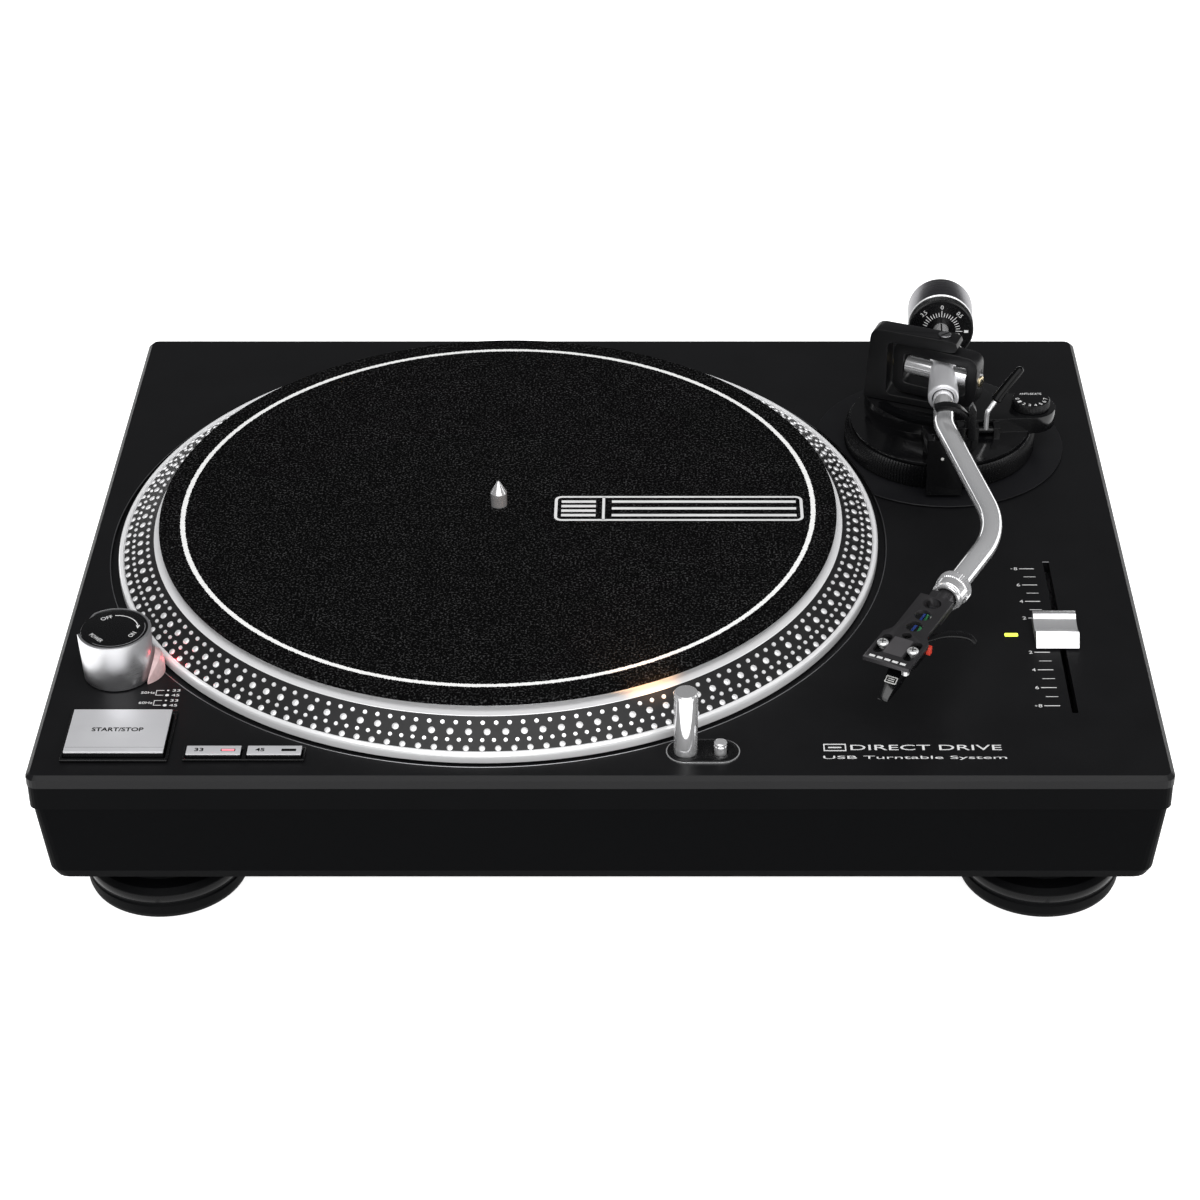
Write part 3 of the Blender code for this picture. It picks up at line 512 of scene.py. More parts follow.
def refined(name, node, finish, body, width=0.4, segments=3):
    """A copy of a CAD node with its edges rounded, which stands for it."""
    mesh = NODES[node].data.copy()
    mesh.name = name
    bm = bmesh.new()
    bm.from_mesh(mesh)
    bmesh.ops.remove_doubles(bm, verts=bm.verts, dist=2e-6)
    bmesh.ops.dissolve_limit(bm, angle_limit=math.radians(0.6), verts=bm.verts, edges=bm.edges)
    bm.to_mesh(mesh)
    bm.free()
    mesh.shade_smooth()
    obj = link(name, mesh, finish, body, (node,))
    bevel = obj.modifiers.new("edges", "BEVEL")
    bevel.width = width * MM
    bevel.segments = segments
    bevel.limit_method = "ANGLE"
    bevel.angle_limit = math.radians(30)
    bevel.harden_normals = True
    return obj


def paint(finish, *nodes):
    """Gives carried-over CAD nodes a finish."""
    for node in nodes:
        mesh = NODES[node].data
        mesh.materials.clear()
        mesh.materials.append(finish)


# ---- plinth


def make_plinth():
    paint(DECK_BLACK, "top_plate")
    paint(FRAME_BLACK, "plinth_frame", "base_cover", "jack_panel")
    paint(TUB_BLACK, "bottom_tub")
    x, y = PLATTER_CENTRE
    # A thin rounded bead at the well's edge in grey metal, lighter than the black deck: a painted highlight
    # along the well's rim.
    bead = lathe([(169.5, -0.5), (169.5, 0.04), (169.62, 0.1), (169.78, 0.1), (169.9, 0.02), (169.9, -0.5)],
                 256)
    piece("well_edge", bead, WELL_EDGE_HIGHLIGHT_GREY, "chassis", (x, y, 0))
    white = []
    for k in range(-FADER_MARKS, FADER_MARKS + 1):
        if k == 0:
            continue
        y = FADER[1] + k * FADER_STEP
        start, half = (179.0, 0.22) if k % 2 == 0 else (180.3, 0.16)
        white.append(bar(start, 185.4, y - half, y + half))
        if k % 2 == 0:
            white.append(letters(str(abs(k)), (177.4, y), (1.5, 2.1)))
    top, bottom = FADER[1] + FADER_TRAVEL, FADER[1] - FADER_TRAVEL
    white.append(bar(175.2, 176.1, top - 0.12, top + 0.12))
    white.append(bar(175.2, 176.2, bottom - 0.12, bottom + 0.12))
    white.append(bar(175.58, 175.82, bottom - 0.5, bottom + 0.5))
    for y, label in ((56.5, "50Hz"), (49.5, "60Hz")):
        white.append(letters(label, (-184.9, y + 0.1), (5.6, 1.6)))
        white.append(bar(-181.7, -181.4, y - 1.8, y + 1.8))
        for up, number, dot in ((1.65, "33", 0.45), (-1.65, "45", 0.8)):
            white.append(bar(-181.4, -178.5, y + up - 0.15, y + up + 0.15))
            white.append(letters(number, (-173.5, y + up), (3.2, 1.6)))
            white.append(prism(arc(-176.9, y + up, dot, 0, 340, 17), -0.02, 0.02))
    white.append(letters("DIRECT DRIVE", (129.0, 19.3), (60.0, 3.5)))
    white.append(letters("USB Turntable System", (124.2, 12.5), (72.5, 2.6)))
    for place in (
        (88.3, 97.3, 16.9, 17.5),
        (88.3, 97.3, 21.1, 21.7),
        (88.3, 88.8, 17.5, 21.1),
        (96.8, 97.3, 17.5, 21.1),
        (90.2, 95.4, 18.9, 19.7),
    ):
        white.append(bar(*place))
    piece("deck_print", merged(white), INK_WHITE, "chassis", (0, 0, PRINT_LIFT))
    lamp = prism(rounded_rectangle(2.8, 1.1, 0.5, 4), 0.0, 0.25)
    piece("pitch_zero_lamp", lamp, LAMP_GREEN, "chassis", (170.6, 98.0, 0.0))
    slot_end = bar(189.6, 192.4, 153.6, 154.1)
    piece("fader_slot_end", slot_end, GREY_PRINT_AND_HIGHLIGHT, "chassis", (0, 0, PRINT_LIFT))


# ---- platter

DOT_ROWS = ((0.2, 180, 0.92), (0.445, 133, 1.42), (0.67, 216, 0.86), (0.895, 160, 1.26))
BAND_INNER = (150.0, 10.7)
BAND_OUTER = (163.6, 2.6)


def make_platter():
    x, y = PLATTER_CENTRE
    body = [(3.9, 1.0), (3.9, PLATTER_TOP), (143.6, PLATTER_TOP), (143.6, 10.7), (149.9, 10.7),
            (150.1, 10.5)]
    body += [(163.55, 2.6), (163.9, 3.4), (164.4, 3.8), (165.2, 3.7), (165.8, 3.0), (166.0, 2.0),
             (166.0, -1.0)]
    body += [(160.5, -1.0), (146.0, 9.0), (15.0, 9.0), (13.0, 1.0)]
    piece("platter_body", lathe(body, 288, 0.35), RIM_SILVER, "platter", (x, y, 0),
          sharp=40,
          stands_for=("platter",))
    band = lathe([(150.15, 10.62), (163.55, 2.72), (163.5, 2.5), (150.1, 10.4)], 288)
    piece("platter_band", band, BAND_GREY, "platter", (x, y, 0))
    slope = math.atan2(BAND_OUTER[1] - BAND_INNER[1], BAND_OUTER[0] - BAND_INNER[0])
    dots = []
    for place, count, radius in DOT_ROWS:
        r = BAND_INNER[0] + (BAND_OUTER[0] - BAND_INNER[0]) * place
        z = BAND_INNER[1] + (BAND_OUTER[1] - BAND_INNER[1]) * place
        profile = [(radius, -0.1), (radius, 0.42), (radius * 0.9, 0.55), (0, 0.58)]
        for i in range(count):
            dot = loft_dot(profile, 12)
            dot.transform(
                rotation(360 * i / count, "Z")
                @ Matrix.Translation((r, 0, z))
                @ Matrix.Rotation(-slope, 4, "Y")
            )
            dots.append(dot)
    piece("platter_dots", merged(dots), DOT_SILVER, "platter", (x, y, 0), sharp=50)
    paint(STEEL, "bearing_housing")
    paint(MAGNET, "rotor_magnet", "power_transformer")
    paint(COPPER, "motor_stator")
    paint(BOARD, "control_board")
    spindle = [(0, -35), (3.6, -35), (3.6, 22.1), (0.55, 27.5), (0, 27.7)]
    piece("spindle_turned", lathe(spindle, 64, 0.25), SATIN_CHROME, "platter", (x, y, 0),
          stands_for=("spindle",))
    low = PLATTER_TOP + 0.3
    mat = softened([(3.9, low), (3.9, MAT_TOP), (MAT_RADIUS, MAT_TOP), (MAT_RADIUS, low), (100, low)], 0.9)
    felt_mat = piece("felt_slipmat", lathe(mat[:-1], 256), FELT, "slipmat", (x, y, 0), sharp=45,
                     stands_for=("slipmat",))
    bars = [ring_frame(-22.4, 86.0, 161.6, 181.8, 3.2, 1.3)]
    bars.append(bar(-1.6, -0.4, 162.4, 181.0))
    for low in (165.2, 168.9, 172.6, 176.3):
        bars.append(bar(-19.4, -4.4, low, low + 1.9))
    for low in (165.2, 170.75, 176.3):
        bars.append(bar(2.6, 83.0, low, low + 1.9))
    emblem = piece("slipmat_emblem", merged(bars), INK_WHITE, "slipmat", (0, 0, MAT_TOP + 0.04))


def ring_frame(x0, x1, y0, y1, radius, width):
    """A rounded rectangular outline, as a flat ring."""
    centre = ((x0 + x1) / 2, (y0 + y1) / 2)
    half = ((x1 - x0) / 2, (y1 - y0) / 2)
    outer = rounded_rectangle(*half, radius, 5, centre)
    inner = rounded_rectangle(half[0] - width, half[1] - width, radius - width, 5, centre)
    half_thick = PRINT_THICK / 2
    edges = ((outer, -half_thick), (outer, half_thick), (inner, half_thick), (inner, -half_thick))
    return loft([[(x, y, z) for x, y in outline] for outline, z in edges], ring=True)


def loft_dot(profile, steps):
    """One dot of the platter's rim: a low turned stud closed to a point."""
    bm = bmesh.new()
    angles = [2 * math.pi * i / steps for i in range(steps)]
    rows = [[bm.verts.new((r * math.cos(a), r * math.sin(a), z)) for a in angles] for r, z in profile[:-1]]
    top = bm.verts.new((0, 0, profile[-1][1]))
    bm.faces.new(rows[0])
    for low, high in zip(rows, rows[1:]):
        for i in range(steps):
            j = (i + 1) % steps
            bm.faces.new((low[i], low[j], high[j], high[i]))
    for i in range(steps):
        bm.faces.new((rows[-1][i], rows[-1][(i + 1) % steps], top))
    return bm


# ---- controls


def make_power_knob():
    origin = (*KNOB_CENTRE, 0)
    cap = [(0, 0.3), (10.7, 0.3), (10.7, 20.4), (13.5, 20.4), (13.5, 21.8), (0, 21.8)]
    piece("knob_cap", lathe(cap, 96, 0.2), TRIM_BLACK, "chassis", origin,
          stands_for=("power_knob_cap",))
    sections = []
    notch_start, notch_end = KNOB_NOTCH
    for i in range(KNOB_STEPS):
        degrees = 360.0 * i / KNOB_STEPS
        notch = 0.0
        if notch_start <= degrees <= notch_end:
            notch = KNOB_NOTCH_DEPTH * (degrees - notch_start) / (notch_end - notch_start)
        top = 22.0 - notch
        outer = 14.1 + 0.9 * min(1.0, top / 20.4)
        profile = [(14.1, 0.6), (outer, top - 0.55), (outer - 0.2, top - 0.12), (outer - 0.5, top)]
        profile += [(13.8, top), (13.8, 0.9), (11.0, 0.9), (11.0, 0.6)]
        a = math.radians(degrees)
        sections.append([(radius * math.cos(a), radius * math.sin(a), z) for radius, z in profile])
    ring = loft(list(zip(*sections)), ring=True)
    uv = ring.loops.layers.uv.new("turning")
    for face in ring.faces:
        for loop in face.loops:
            x, y, z = loop.vert.co
            loop[uv].uv = (math.atan2(y, x) * 0.015, (z + math.hypot(x, y)) * MM)
    piece("knob_ring", ring, SILVER, "power_knob", origin, stands_for=("power_knob_ring",))
    drum = lathe([(13.75, 0.9), (13.75, 20.2), (11.05, 20.2), (11.05, 0.9)], 96)
    piece("knob_drum", drum, TRIM_BLACK, "power_knob", origin)
    marks = [
        letters("OFF", arc(0, 0, 8.9, 118, 119, 1)[0], (4.9, 2.1), 28),
        letters("ON", arc(0, 0, 8.9, -27, -26, 1)[0], (3.6, 2.1), 63),
        letters("POWER", arc(0, 0, 9.0, 226, 227, 1)[0], (7.4, 1.9), -44),
        ring_bar((0, 0), 9.6, 0.4, 12, 96),
        prism([(10.3, 2.6), (8.6, 2.6), (9.5, 0.2)], -0.02, 0.02),
    ]
    piece("knob_marks", merged(marks), INK_WHITE, "chassis", (*KNOB_CENTRE, 21.84))
    # A painted highlight: a thin grey arc over only the front-right of the cap's rim, where its chamfer
    # catches the light.
    rim = ring_bar((0, 0), 12.55, 0.16, -125, 20)
    piece("knob_rim_painted_highlight", rim, GREY_PRINT_AND_HIGHLIGHT, "chassis", (*KNOB_CENTRE, 21.84))
    count = 30
    sections = []
    for i in range(count + 1):
        t = i / count
        a = math.radians(-34 + 80 * t)
        bulge = math.sin(math.pi * t)
        outer = 15.75 + 3.1 * bulge
        high = 1.4 + 9.3 * bulge**0.8
        profile = [(15.55, 0.3), (outer, 0.3), (outer, high * 0.5), (outer - 1.1 * bulge, high * 0.85),
                   (15.57, high)]
        sections.append([(r * math.cos(a), r * math.sin(a), z) for r, z in profile])
    piece("strobe_lens", loft(sections), STROBE_PINK, "chassis", origin,
          stands_for=("strobe_window",))


def make_buttons():
    x0, x1, y0, y1 = -211.7, -172.3, 11.0, 39.7
    piece("start_stop_body", box(x0, x1, y0, y1, -6.0, 3.3, 0.2), TRIM_BLACK, "start_stop_button")
    piece("start_stop_cap", box(x0, x1, y0, y1, 3.2, 4.0, 0.3), BUTTON_SILVER, "start_stop_button",
          stands_for=("start_stop_button",))
    mark = letters("START/STOP", (-192.3, 26.0), (20.5, 2.5), thick=0.08, weight=0.02)
    piece("start_stop_mark", mark, INK_BLACK, "start_stop_button", (0, 0, 4.03))
    line = bar(x0 + 0.4, x1 - 0.4, 14.0, 14.25)
    piece("start_stop_line", line, GREY_PRINT_AND_HIGHLIGHT, "start_stop_button", (0, 0, 4.0))
    refined("start_stop_surround", "start_stop_bezel", TRIM_BLACK, "chassis", 0.35)
    refined("speed_surround", "speed_button_bezel", TRIM_BLACK, "chassis", 0.25)
    for label, x0, x1, lamp in (("33", -163.5, -142.0, LAMP_RED), ("45", -139.4, -118.0, INK_BLACK)):
        body = f"speed_{label}_button"
        low = box(x0, x1, 10.9, 16.6, -6.0, 2.5, 0.2)
        piece(f"speed_{label}_body", low, TRIM_BLACK, body)
        cap = box(x0, x1, 10.9, 16.6, 2.4, 3.0, 0.2)
        piece(f"speed_{label}_cap", cap, BUTTON_SILVER, body, stands_for=(body,))
        mark = letters(label, (x0 + 5.0, 13.9), (3.6, 2.1), thick=0.08, weight=0.02)
        piece(f"speed_{label}_mark", mark, INK_BLACK, body, (0, 0, 3.03))
        slot_frame = prism(rounded_rectangle(2.9, 0.8, 0.3, 3, (x1 - 5.0, 13.7)), -0.3, 0.02)
        piece(f"speed_{label}_lamp_frame", slot_frame, INK_BLACK, body, (0, 0, 3.0))
        lens = prism(rounded_rectangle(2.5, 0.5, 0.25, 3, (x1 - 5.0, 13.7)), -0.2, 0.08)
        piece(f"speed_{label}_lamp", lens, lamp, body, (0, 0, 3.0))


def make_target_light():
    px, py = LIGHT_POST
    bx, by = LIGHT_BUTTON
    refined("light_plate", "target_light_bezel", TRIM_BLACK, "chassis", 0.15, 2)
    rows = []
    for grow, z in ((0.0, 0.0), (0.0, 0.5), (0.42, 0.5), (0.42, 0.0)):
        outline = arc(px, py, 7.35 + grow, 90, 270, 24) + arc(bx, by, 7.35 + grow, -90, 90, 24)
        rows.append([(x, y, z) for x, y in outline])
    piece("light_plate_rim", loft(rows, ring=True), SATIN_CHROME, "chassis", (0, 0, 0.02))
    profile = [(0, -9), (4.75, -9), (4.75, 26.6), (4.8, 26.9), (4.8, 28.7), (4.4, 29.3), (0, 29.3)]
    piece("light_post", lathe(profile, 96, 0.15), CHROME, "target_light", (px, py, 0),
          stands_for=("target_light_post",))
    cap = lathe([(0, 29.32), (4.2, 29.32), (4.2, 29.22), (0, 29.22)], 64)
    piece("light_post_cap", cap, SATIN_CHROME, "target_light", (px, py, 0))
    lens = loft([
        [(r * math.cos(math.radians(a)), r * math.sin(math.radians(a)), z) for a in range(70, 151, 8)]
        + [(4.5 * math.cos(math.radians(a)), 4.5 * math.sin(math.radians(a)), z) for a in range(150, 69,
                                                                                                -8)]
        for r, z in ((4.7, 20.6), (4.85, 21.0), (4.85, 24.6), (4.7, 25.0))
    ])
    piece("light_lens", lens, LAMP_WARM, "target_light", (px, py, 0))
    collar = lathe([(4.95, -1.0), (4.95, 0.75), (5.2, 0.95), (5.5, 0.95), (5.5, -1.0)], 64)
    piece("light_post_collar", collar, TRIM_BLACK, "chassis", (px, py, 0))
    button = [(0, -8), (2.55, -8), (2.55, 3.3), (2.2, 3.7), (2.2, 4.0), (2.6, 4.4), (2.55, 4.8), (1.9, 5.1),
              (0, 5.1)]
    piece("light_button", lathe(button, 64, 0.12), CHROME, "target_light_button",
          (bx, by, 0),
          stands_for=("target_light_button",))
    cup = lathe([(3.15, -5.0), (3.15, 0.2), (4.6, 0.75), (4.75, 0.75), (4.75, -5.0)], 64)
    piece("light_button_cup", cup, GLOSS_BLACK, "chassis", (bx, by, 0))


def make_fader():
    paint(STEEL, "pitch_fader_track")
    paint(TRIM_BLACK, "pitch_fader_carriage")
    saddle = [(-10.9, 0.8), (10.2, 0.8), (10.2, 5.0), (9.9, 5.7), (9.2, 6.1), (6.4, 6.4)]
    dip = [math.radians(degrees) for degrees in range(12, 169, 12)]
    saddle += [(6.0 * math.cos(a), 6.3 - 2.2 * math.sin(a)) for a in dip]
    saddle += [(-6.4, 6.2), (-7.4, 5.7), (-10.4, 1.6)]
    knob = loft([[(x, y, z) for y, z in saddle] for x in (-9.0, 9.0)])
    caps = [edge for edge in knob.edges if abs(edge.verts[0].co.x - edge.verts[1].co.x) < 0.01]
    bmesh.ops.bevel(knob, geom=caps, offset=0.25, segments=2, profile=0.6, affect="EDGES")
    piece("fader_knob", knob, SATIN_CHROME, "pitch_fader", (*FADER, 0),
          stands_for=("pitch_fader_knob",), sharp=38)


# ---- tonearm


def along(turn, distance, origin=PIVOT):
    """A point forward of the origin in a turned frame."""
    return Vector(origin) + turn @ Vector((0, -distance, 0))


def fillet(before, corner, after, radius, steps):
    """Points of the arc that rounds the corner between two straight runs."""
    into, out = (before - corner).normalized(), (after - corner).normalized()
    half = into.angle(out) / 2
    reach = radius / math.tan(half)
    centre = corner + (into + out).normalized() * (radius / math.sin(half))
    first, last = corner + into * reach - centre, corner + out * reach - centre
    turn = first.angle(last)
    points = []
    for i in range(steps + 1):
        t = turn * i / steps
        points.append(centre + (first * math.sin(turn - t) + last * math.sin(t)) / math.sin(turn))
    return points


def make_arm_base():
    refined("base_trim_disc", "arm_base_disc", DISC_BLACK, "chassis", 0.3)
    ring = [(36.0, 1.4), (42.9, 1.4), (43.6, 2.0), (43.6, 8.6), (42.3, 11.1), (41.7, 11.5), (36.0, 11.5)]
    piece("knurled_ring", lathe(ring, 360, 0.0, (1.9, 11.2, 0.75)), TRIM_BLACK, "height_ring",
          (*PIVOT[:2], 0), stands_for=("height_ring",), sharp=25)
    refined("arm_base_casting", "arm_base", GLOSS_BLACK, "arm_base", 0.7)
    refined("yoke", "outer_yoke", YOKE_BLACK, "arm_base", 0.7)
    screw = [(0, 50.4), (1.9, 50.4), (1.9, 56.5), (2.8, 56.5), (2.8, 57.3), (0, 57.3)]
    piece("pivot_screw", lathe(screw, 48, 0.25), STEEL, "arm_base", (*PIVOT[:2], 0),
          stands_for=("yoke_pivot_screw",))
    slot_mark = box(-2.4, 2.4, -0.35, 0.35, 57.0, 57.33)
    piece("pivot_screw_slot", slot_mark, INK_BLACK, "arm_base", (*PIVOT[:2], 0),
          rotation(35, "Z"))
    knob = [(0, 20.3), (8.7, 20.3), (8.7, 23.3), (8.2, 24.0), (0, 24.0)]
    piece("anti_skate_dial", lathe(knob, 160, 0.0, (20.5, 23.35, 0.25)), TRIM_BLACK, "anti_skate_knob",
          (*ANTI_SKATE, 0), stands_for=("anti_skate_knob",), sharp=25)
    marks = [letters("ANTI-SKATE", (0, 3.9), (10.0, 1.6), 0)]
    for k in range(8):
        a = 185 + k * 170 / 7
        marks.append(letters(str(k), arc(0, 0, 6.4, a, a + 1, 1)[0], (1.3, 1.9), a + 90))
    piece("anti_skate_marks", merged(marks), INK_WHITE, "anti_skate_knob",
          (*ANTI_SKATE, 24.03))


def make_arm_rest():
    refined("rest_post", "arm_rest", GLOSS_BLACK, "arm_base", 0.5)
    refined("rest_clip", "arm_clip", TRIM_BLACK, "arm_clip", 0.3, 2)
    refined("lift_platform", "lift_bar", RUBBER, "lift_bar", 0.35, 2)
    dot = lathe([(0, 0.0), (0.75, 0.0), (0.7, 0.1), (0, 0.12)], 20)
    piece("rest_dot", dot, WHITE_PLASTIC, "arm_base", (149.2, 204.6, 21.5), ABOUT_X)
    rod = smooth_path([(0, 0, 0), (0, 0, 8.5), (1.2, 0.6, 11.0), (4.4, 2.0, 15.4)], 8)
    axle = lathe([(0, -5.8), (1.3, -5.8), (1.3, 5.8), (0, 5.8)], 24, 0.2)
    piece("cue_axle", axle, TRIM_BLACK, "cue_lever", LEVER_PIVOT, ABOUT_Y)
    piece("cue_rod", sweep(rod, 1.15, 20), CHROME, "cue_lever", LEVER_PIVOT,
          stands_for=("cue_lever",))
    path = smooth_path([(3.6, 1.6, 14.2), (5.6, 2.6, 17.2), (12.6, 6.0, 25.4), (15.5, 7.35, 28.7)], 6)
    count = len(path)
    radii = []
    for i in range(count):
        t = i / (count - 1)
        end = min(1.0, (1 - t) * 12, 0.55 + t * 6)
        radii.append((2.5 - 0.9 * t) * end + 0.05)
    piece("cue_grip", sweep(path, radii, 20), RUBBER_GLOSS, "cue_lever", LEVER_PIVOT)


def make_gimbal():
    refined("gimbal_frame", "gimbal_ring", YOKE_BLACK, "gimbal", 0.6)
    for side, sign, face in (("right", 1, 18.3), ("left", -1, 23.1)):
        profile = [(0, face - 5.4), (1.9, face - 5.4), (1.9, face), (2.6, face), (2.6, face + 0.8),
                   (0, face + 0.8)]
        turn = AXLE @ rotation(90 * sign, "Y")
        piece(f"gimbal_screw_{side}_head", lathe(profile, 48, 0.25), GOLD, "gimbal", PIVOT,
              turn,
              stands_for=(f"gimbal_screw_{side}",))
        slots = merged([
            box(-1.9, 1.9, -0.3, 0.3, face + 0.5, face + 0.83),
            box(-0.3, 0.3, -1.9, 1.9, face + 0.5, face + 0.82),
        ])
        piece(f"gimbal_screw_{side}_slot", slots, INK_BLACK, "gimbal", PIVOT,
              turn @ rotation(25, "Z"))
    nut = lathe([(2.7, 18.0), (4.0, 18.0), (4.0, 18.3), (2.7, 18.35)], 6)
    piece("gimbal_nut_right", nut, STEEL, "gimbal", PIVOT, AXLE @ rotation(90, "Y"))


def make_arm():
    axle = lathe([(0, -17.4), (4.0, -17.4), (4.0, 12.6), (0, 12.6)], 64, 0.3)
    piece("axle", axle, SATIN_CHROME, "arm", PIVOT, AXLE @ ABOUT_Y,
          stands_for=("cross_shaft",))
    hub = [(0, -8), (5.6, -8), (6.1, -7.4), (6.1, 4), (6.5, 12), (6.9, 20), (6.9, 22.2), (6.4, 23),
           (5.1, 23)]
    hub += [(5.0, 22.4), (5.0, 11), (0, 11)]
    piece("hub_sleeve", lathe(hub, 96, 0.35), HUB_SILVER, "arm", PIVOT, HUB @ ABOUT_X,
          stands_for=("arm_hub",), sharp=40)
    start, first = along(HUB, 12.0), along(HUB, 45.5)
    end = Vector(COLLAR) + SHELL @ Vector((0, -1.0, 0))
    second = Vector((166.2, 127.6, PIVOT[2] - TUBE_SLOPE * 130))
    path = [start, *fillet(start, first, second, 30.0, 10), *fillet(first, second, end, 52.0, 28), end]
    piece("arm_tube_polished", sweep(path, 4.6, 48, 3.9), CHROME, "arm",
          stands_for=("arm_tube",), sharp=50)
    liner = lathe([(4.65, 22.2), (4.98, 22.2), (4.98, 12.0), (4.65, 12.0)], 64)
    piece("hub_liner", liner, RUBBER, "arm", PIVOT, HUB @ ABOUT_X)
    backward = REAR @ ABOUT_X.inverted()
    shaft = lathe([(0, 6.3), (3.7, 6.3), (3.7, 76.6), (3.3, 77.0), (0, 77.0)], 64)
    piece("weight_shaft", shaft, CHROME, "arm", PIVOT, backward,
          stands_for=("counterweight_shaft",))
    index = box(-0.35, 0.35, 9.0, 46.4, 3.62, 3.76)
    piece("weight_index_line", index, INK_BLACK, "arm", PIVOT, REAR)
    collar = [(4.9, -6.2), (5.5, -6.2), (6.6, -5.5), (7.3, -4.9), (7.3, -1.2), (6.75, -0.8), (6.65, 3.2),
              (6.4, 3.5)]
    collar += [(5.8, 3.7), (5.8, 4.2), (6.0, 4.4), (6.0, 5.0), (5.7, 5.2), (4.9, 5.2)]
    piece("knurled_collar", lathe(collar, 96, 0.0, (-5.0, -1.1, 0.4)), SATIN_CHROME, "locking_collar",
          COLLAR, SHELL @ ABOUT_X, stands_for=("locking_collar",), sharp=24)


def make_counterweight():
    backward = REAR @ ABOUT_X.inverted()
    dial = [(4.1, 47.0), (12.9, 47.0), (13.2, 47.25), (14.7, 47.25), (15.3, 47.8), (15.3, 52.6),
            (14.9, 53.0), (4.1, 53.0)]
    piece("force_dial", lathe(dial, 240, 0.0, (47.2, 52.7, 0.3)), TRIM_BLACK, "weight_dial",
          PIVOT,
          backward, stands_for=("weight_dial",), sharp=25)
    marks = []
    for k in range(40):
        a = 90 - 9 * k
        long_tick = k % 5 == 0
        tick = box(6.8 if long_tick else 7.0, 10.0 if long_tick else 9.0, -0.16, 0.16, -0.02, 0.02)
        marks.append(moved(tick, turn=rotation(a, "Z")))
        if long_tick:
            label = f"{k / 10:g}"
            width = 1.6 if len(label) == 1 else 3.4
            marks.append(letters(label, arc(0, 0, 11.8, a, a + 1, 1)[0], (width * 0.85, 2.0), a - 90))
    face = REAR @ ABOUT_X
    piece("force_dial_marks", moved(merged(marks), (0, 0, -46.97)), INK_WHITE, "weight_dial",
          PIVOT, face)
    drum = [(8.3, 53.3), (14.5, 53.3), (15.3, 54.1), (15.3, 73.0), (14.3, 74.0), (8.3, 74.0)]
    piece("weight_drum", lathe(drum, 144, 0.12), GUNMETAL, "counterweight", PIVOT,
          backward,
          stands_for=("counterweight",))
    chamfer = lathe([(14.45, 53.28), (14.6, 53.22), (15.28, 53.95), (15.3, 54.25), (14.9, 54.2)], 144)
    piece("weight_chamfer", chamfer, RIM_SILVER, "counterweight", PIVOT, backward)
    paint(RUBBER, "counterweight_sleeve")


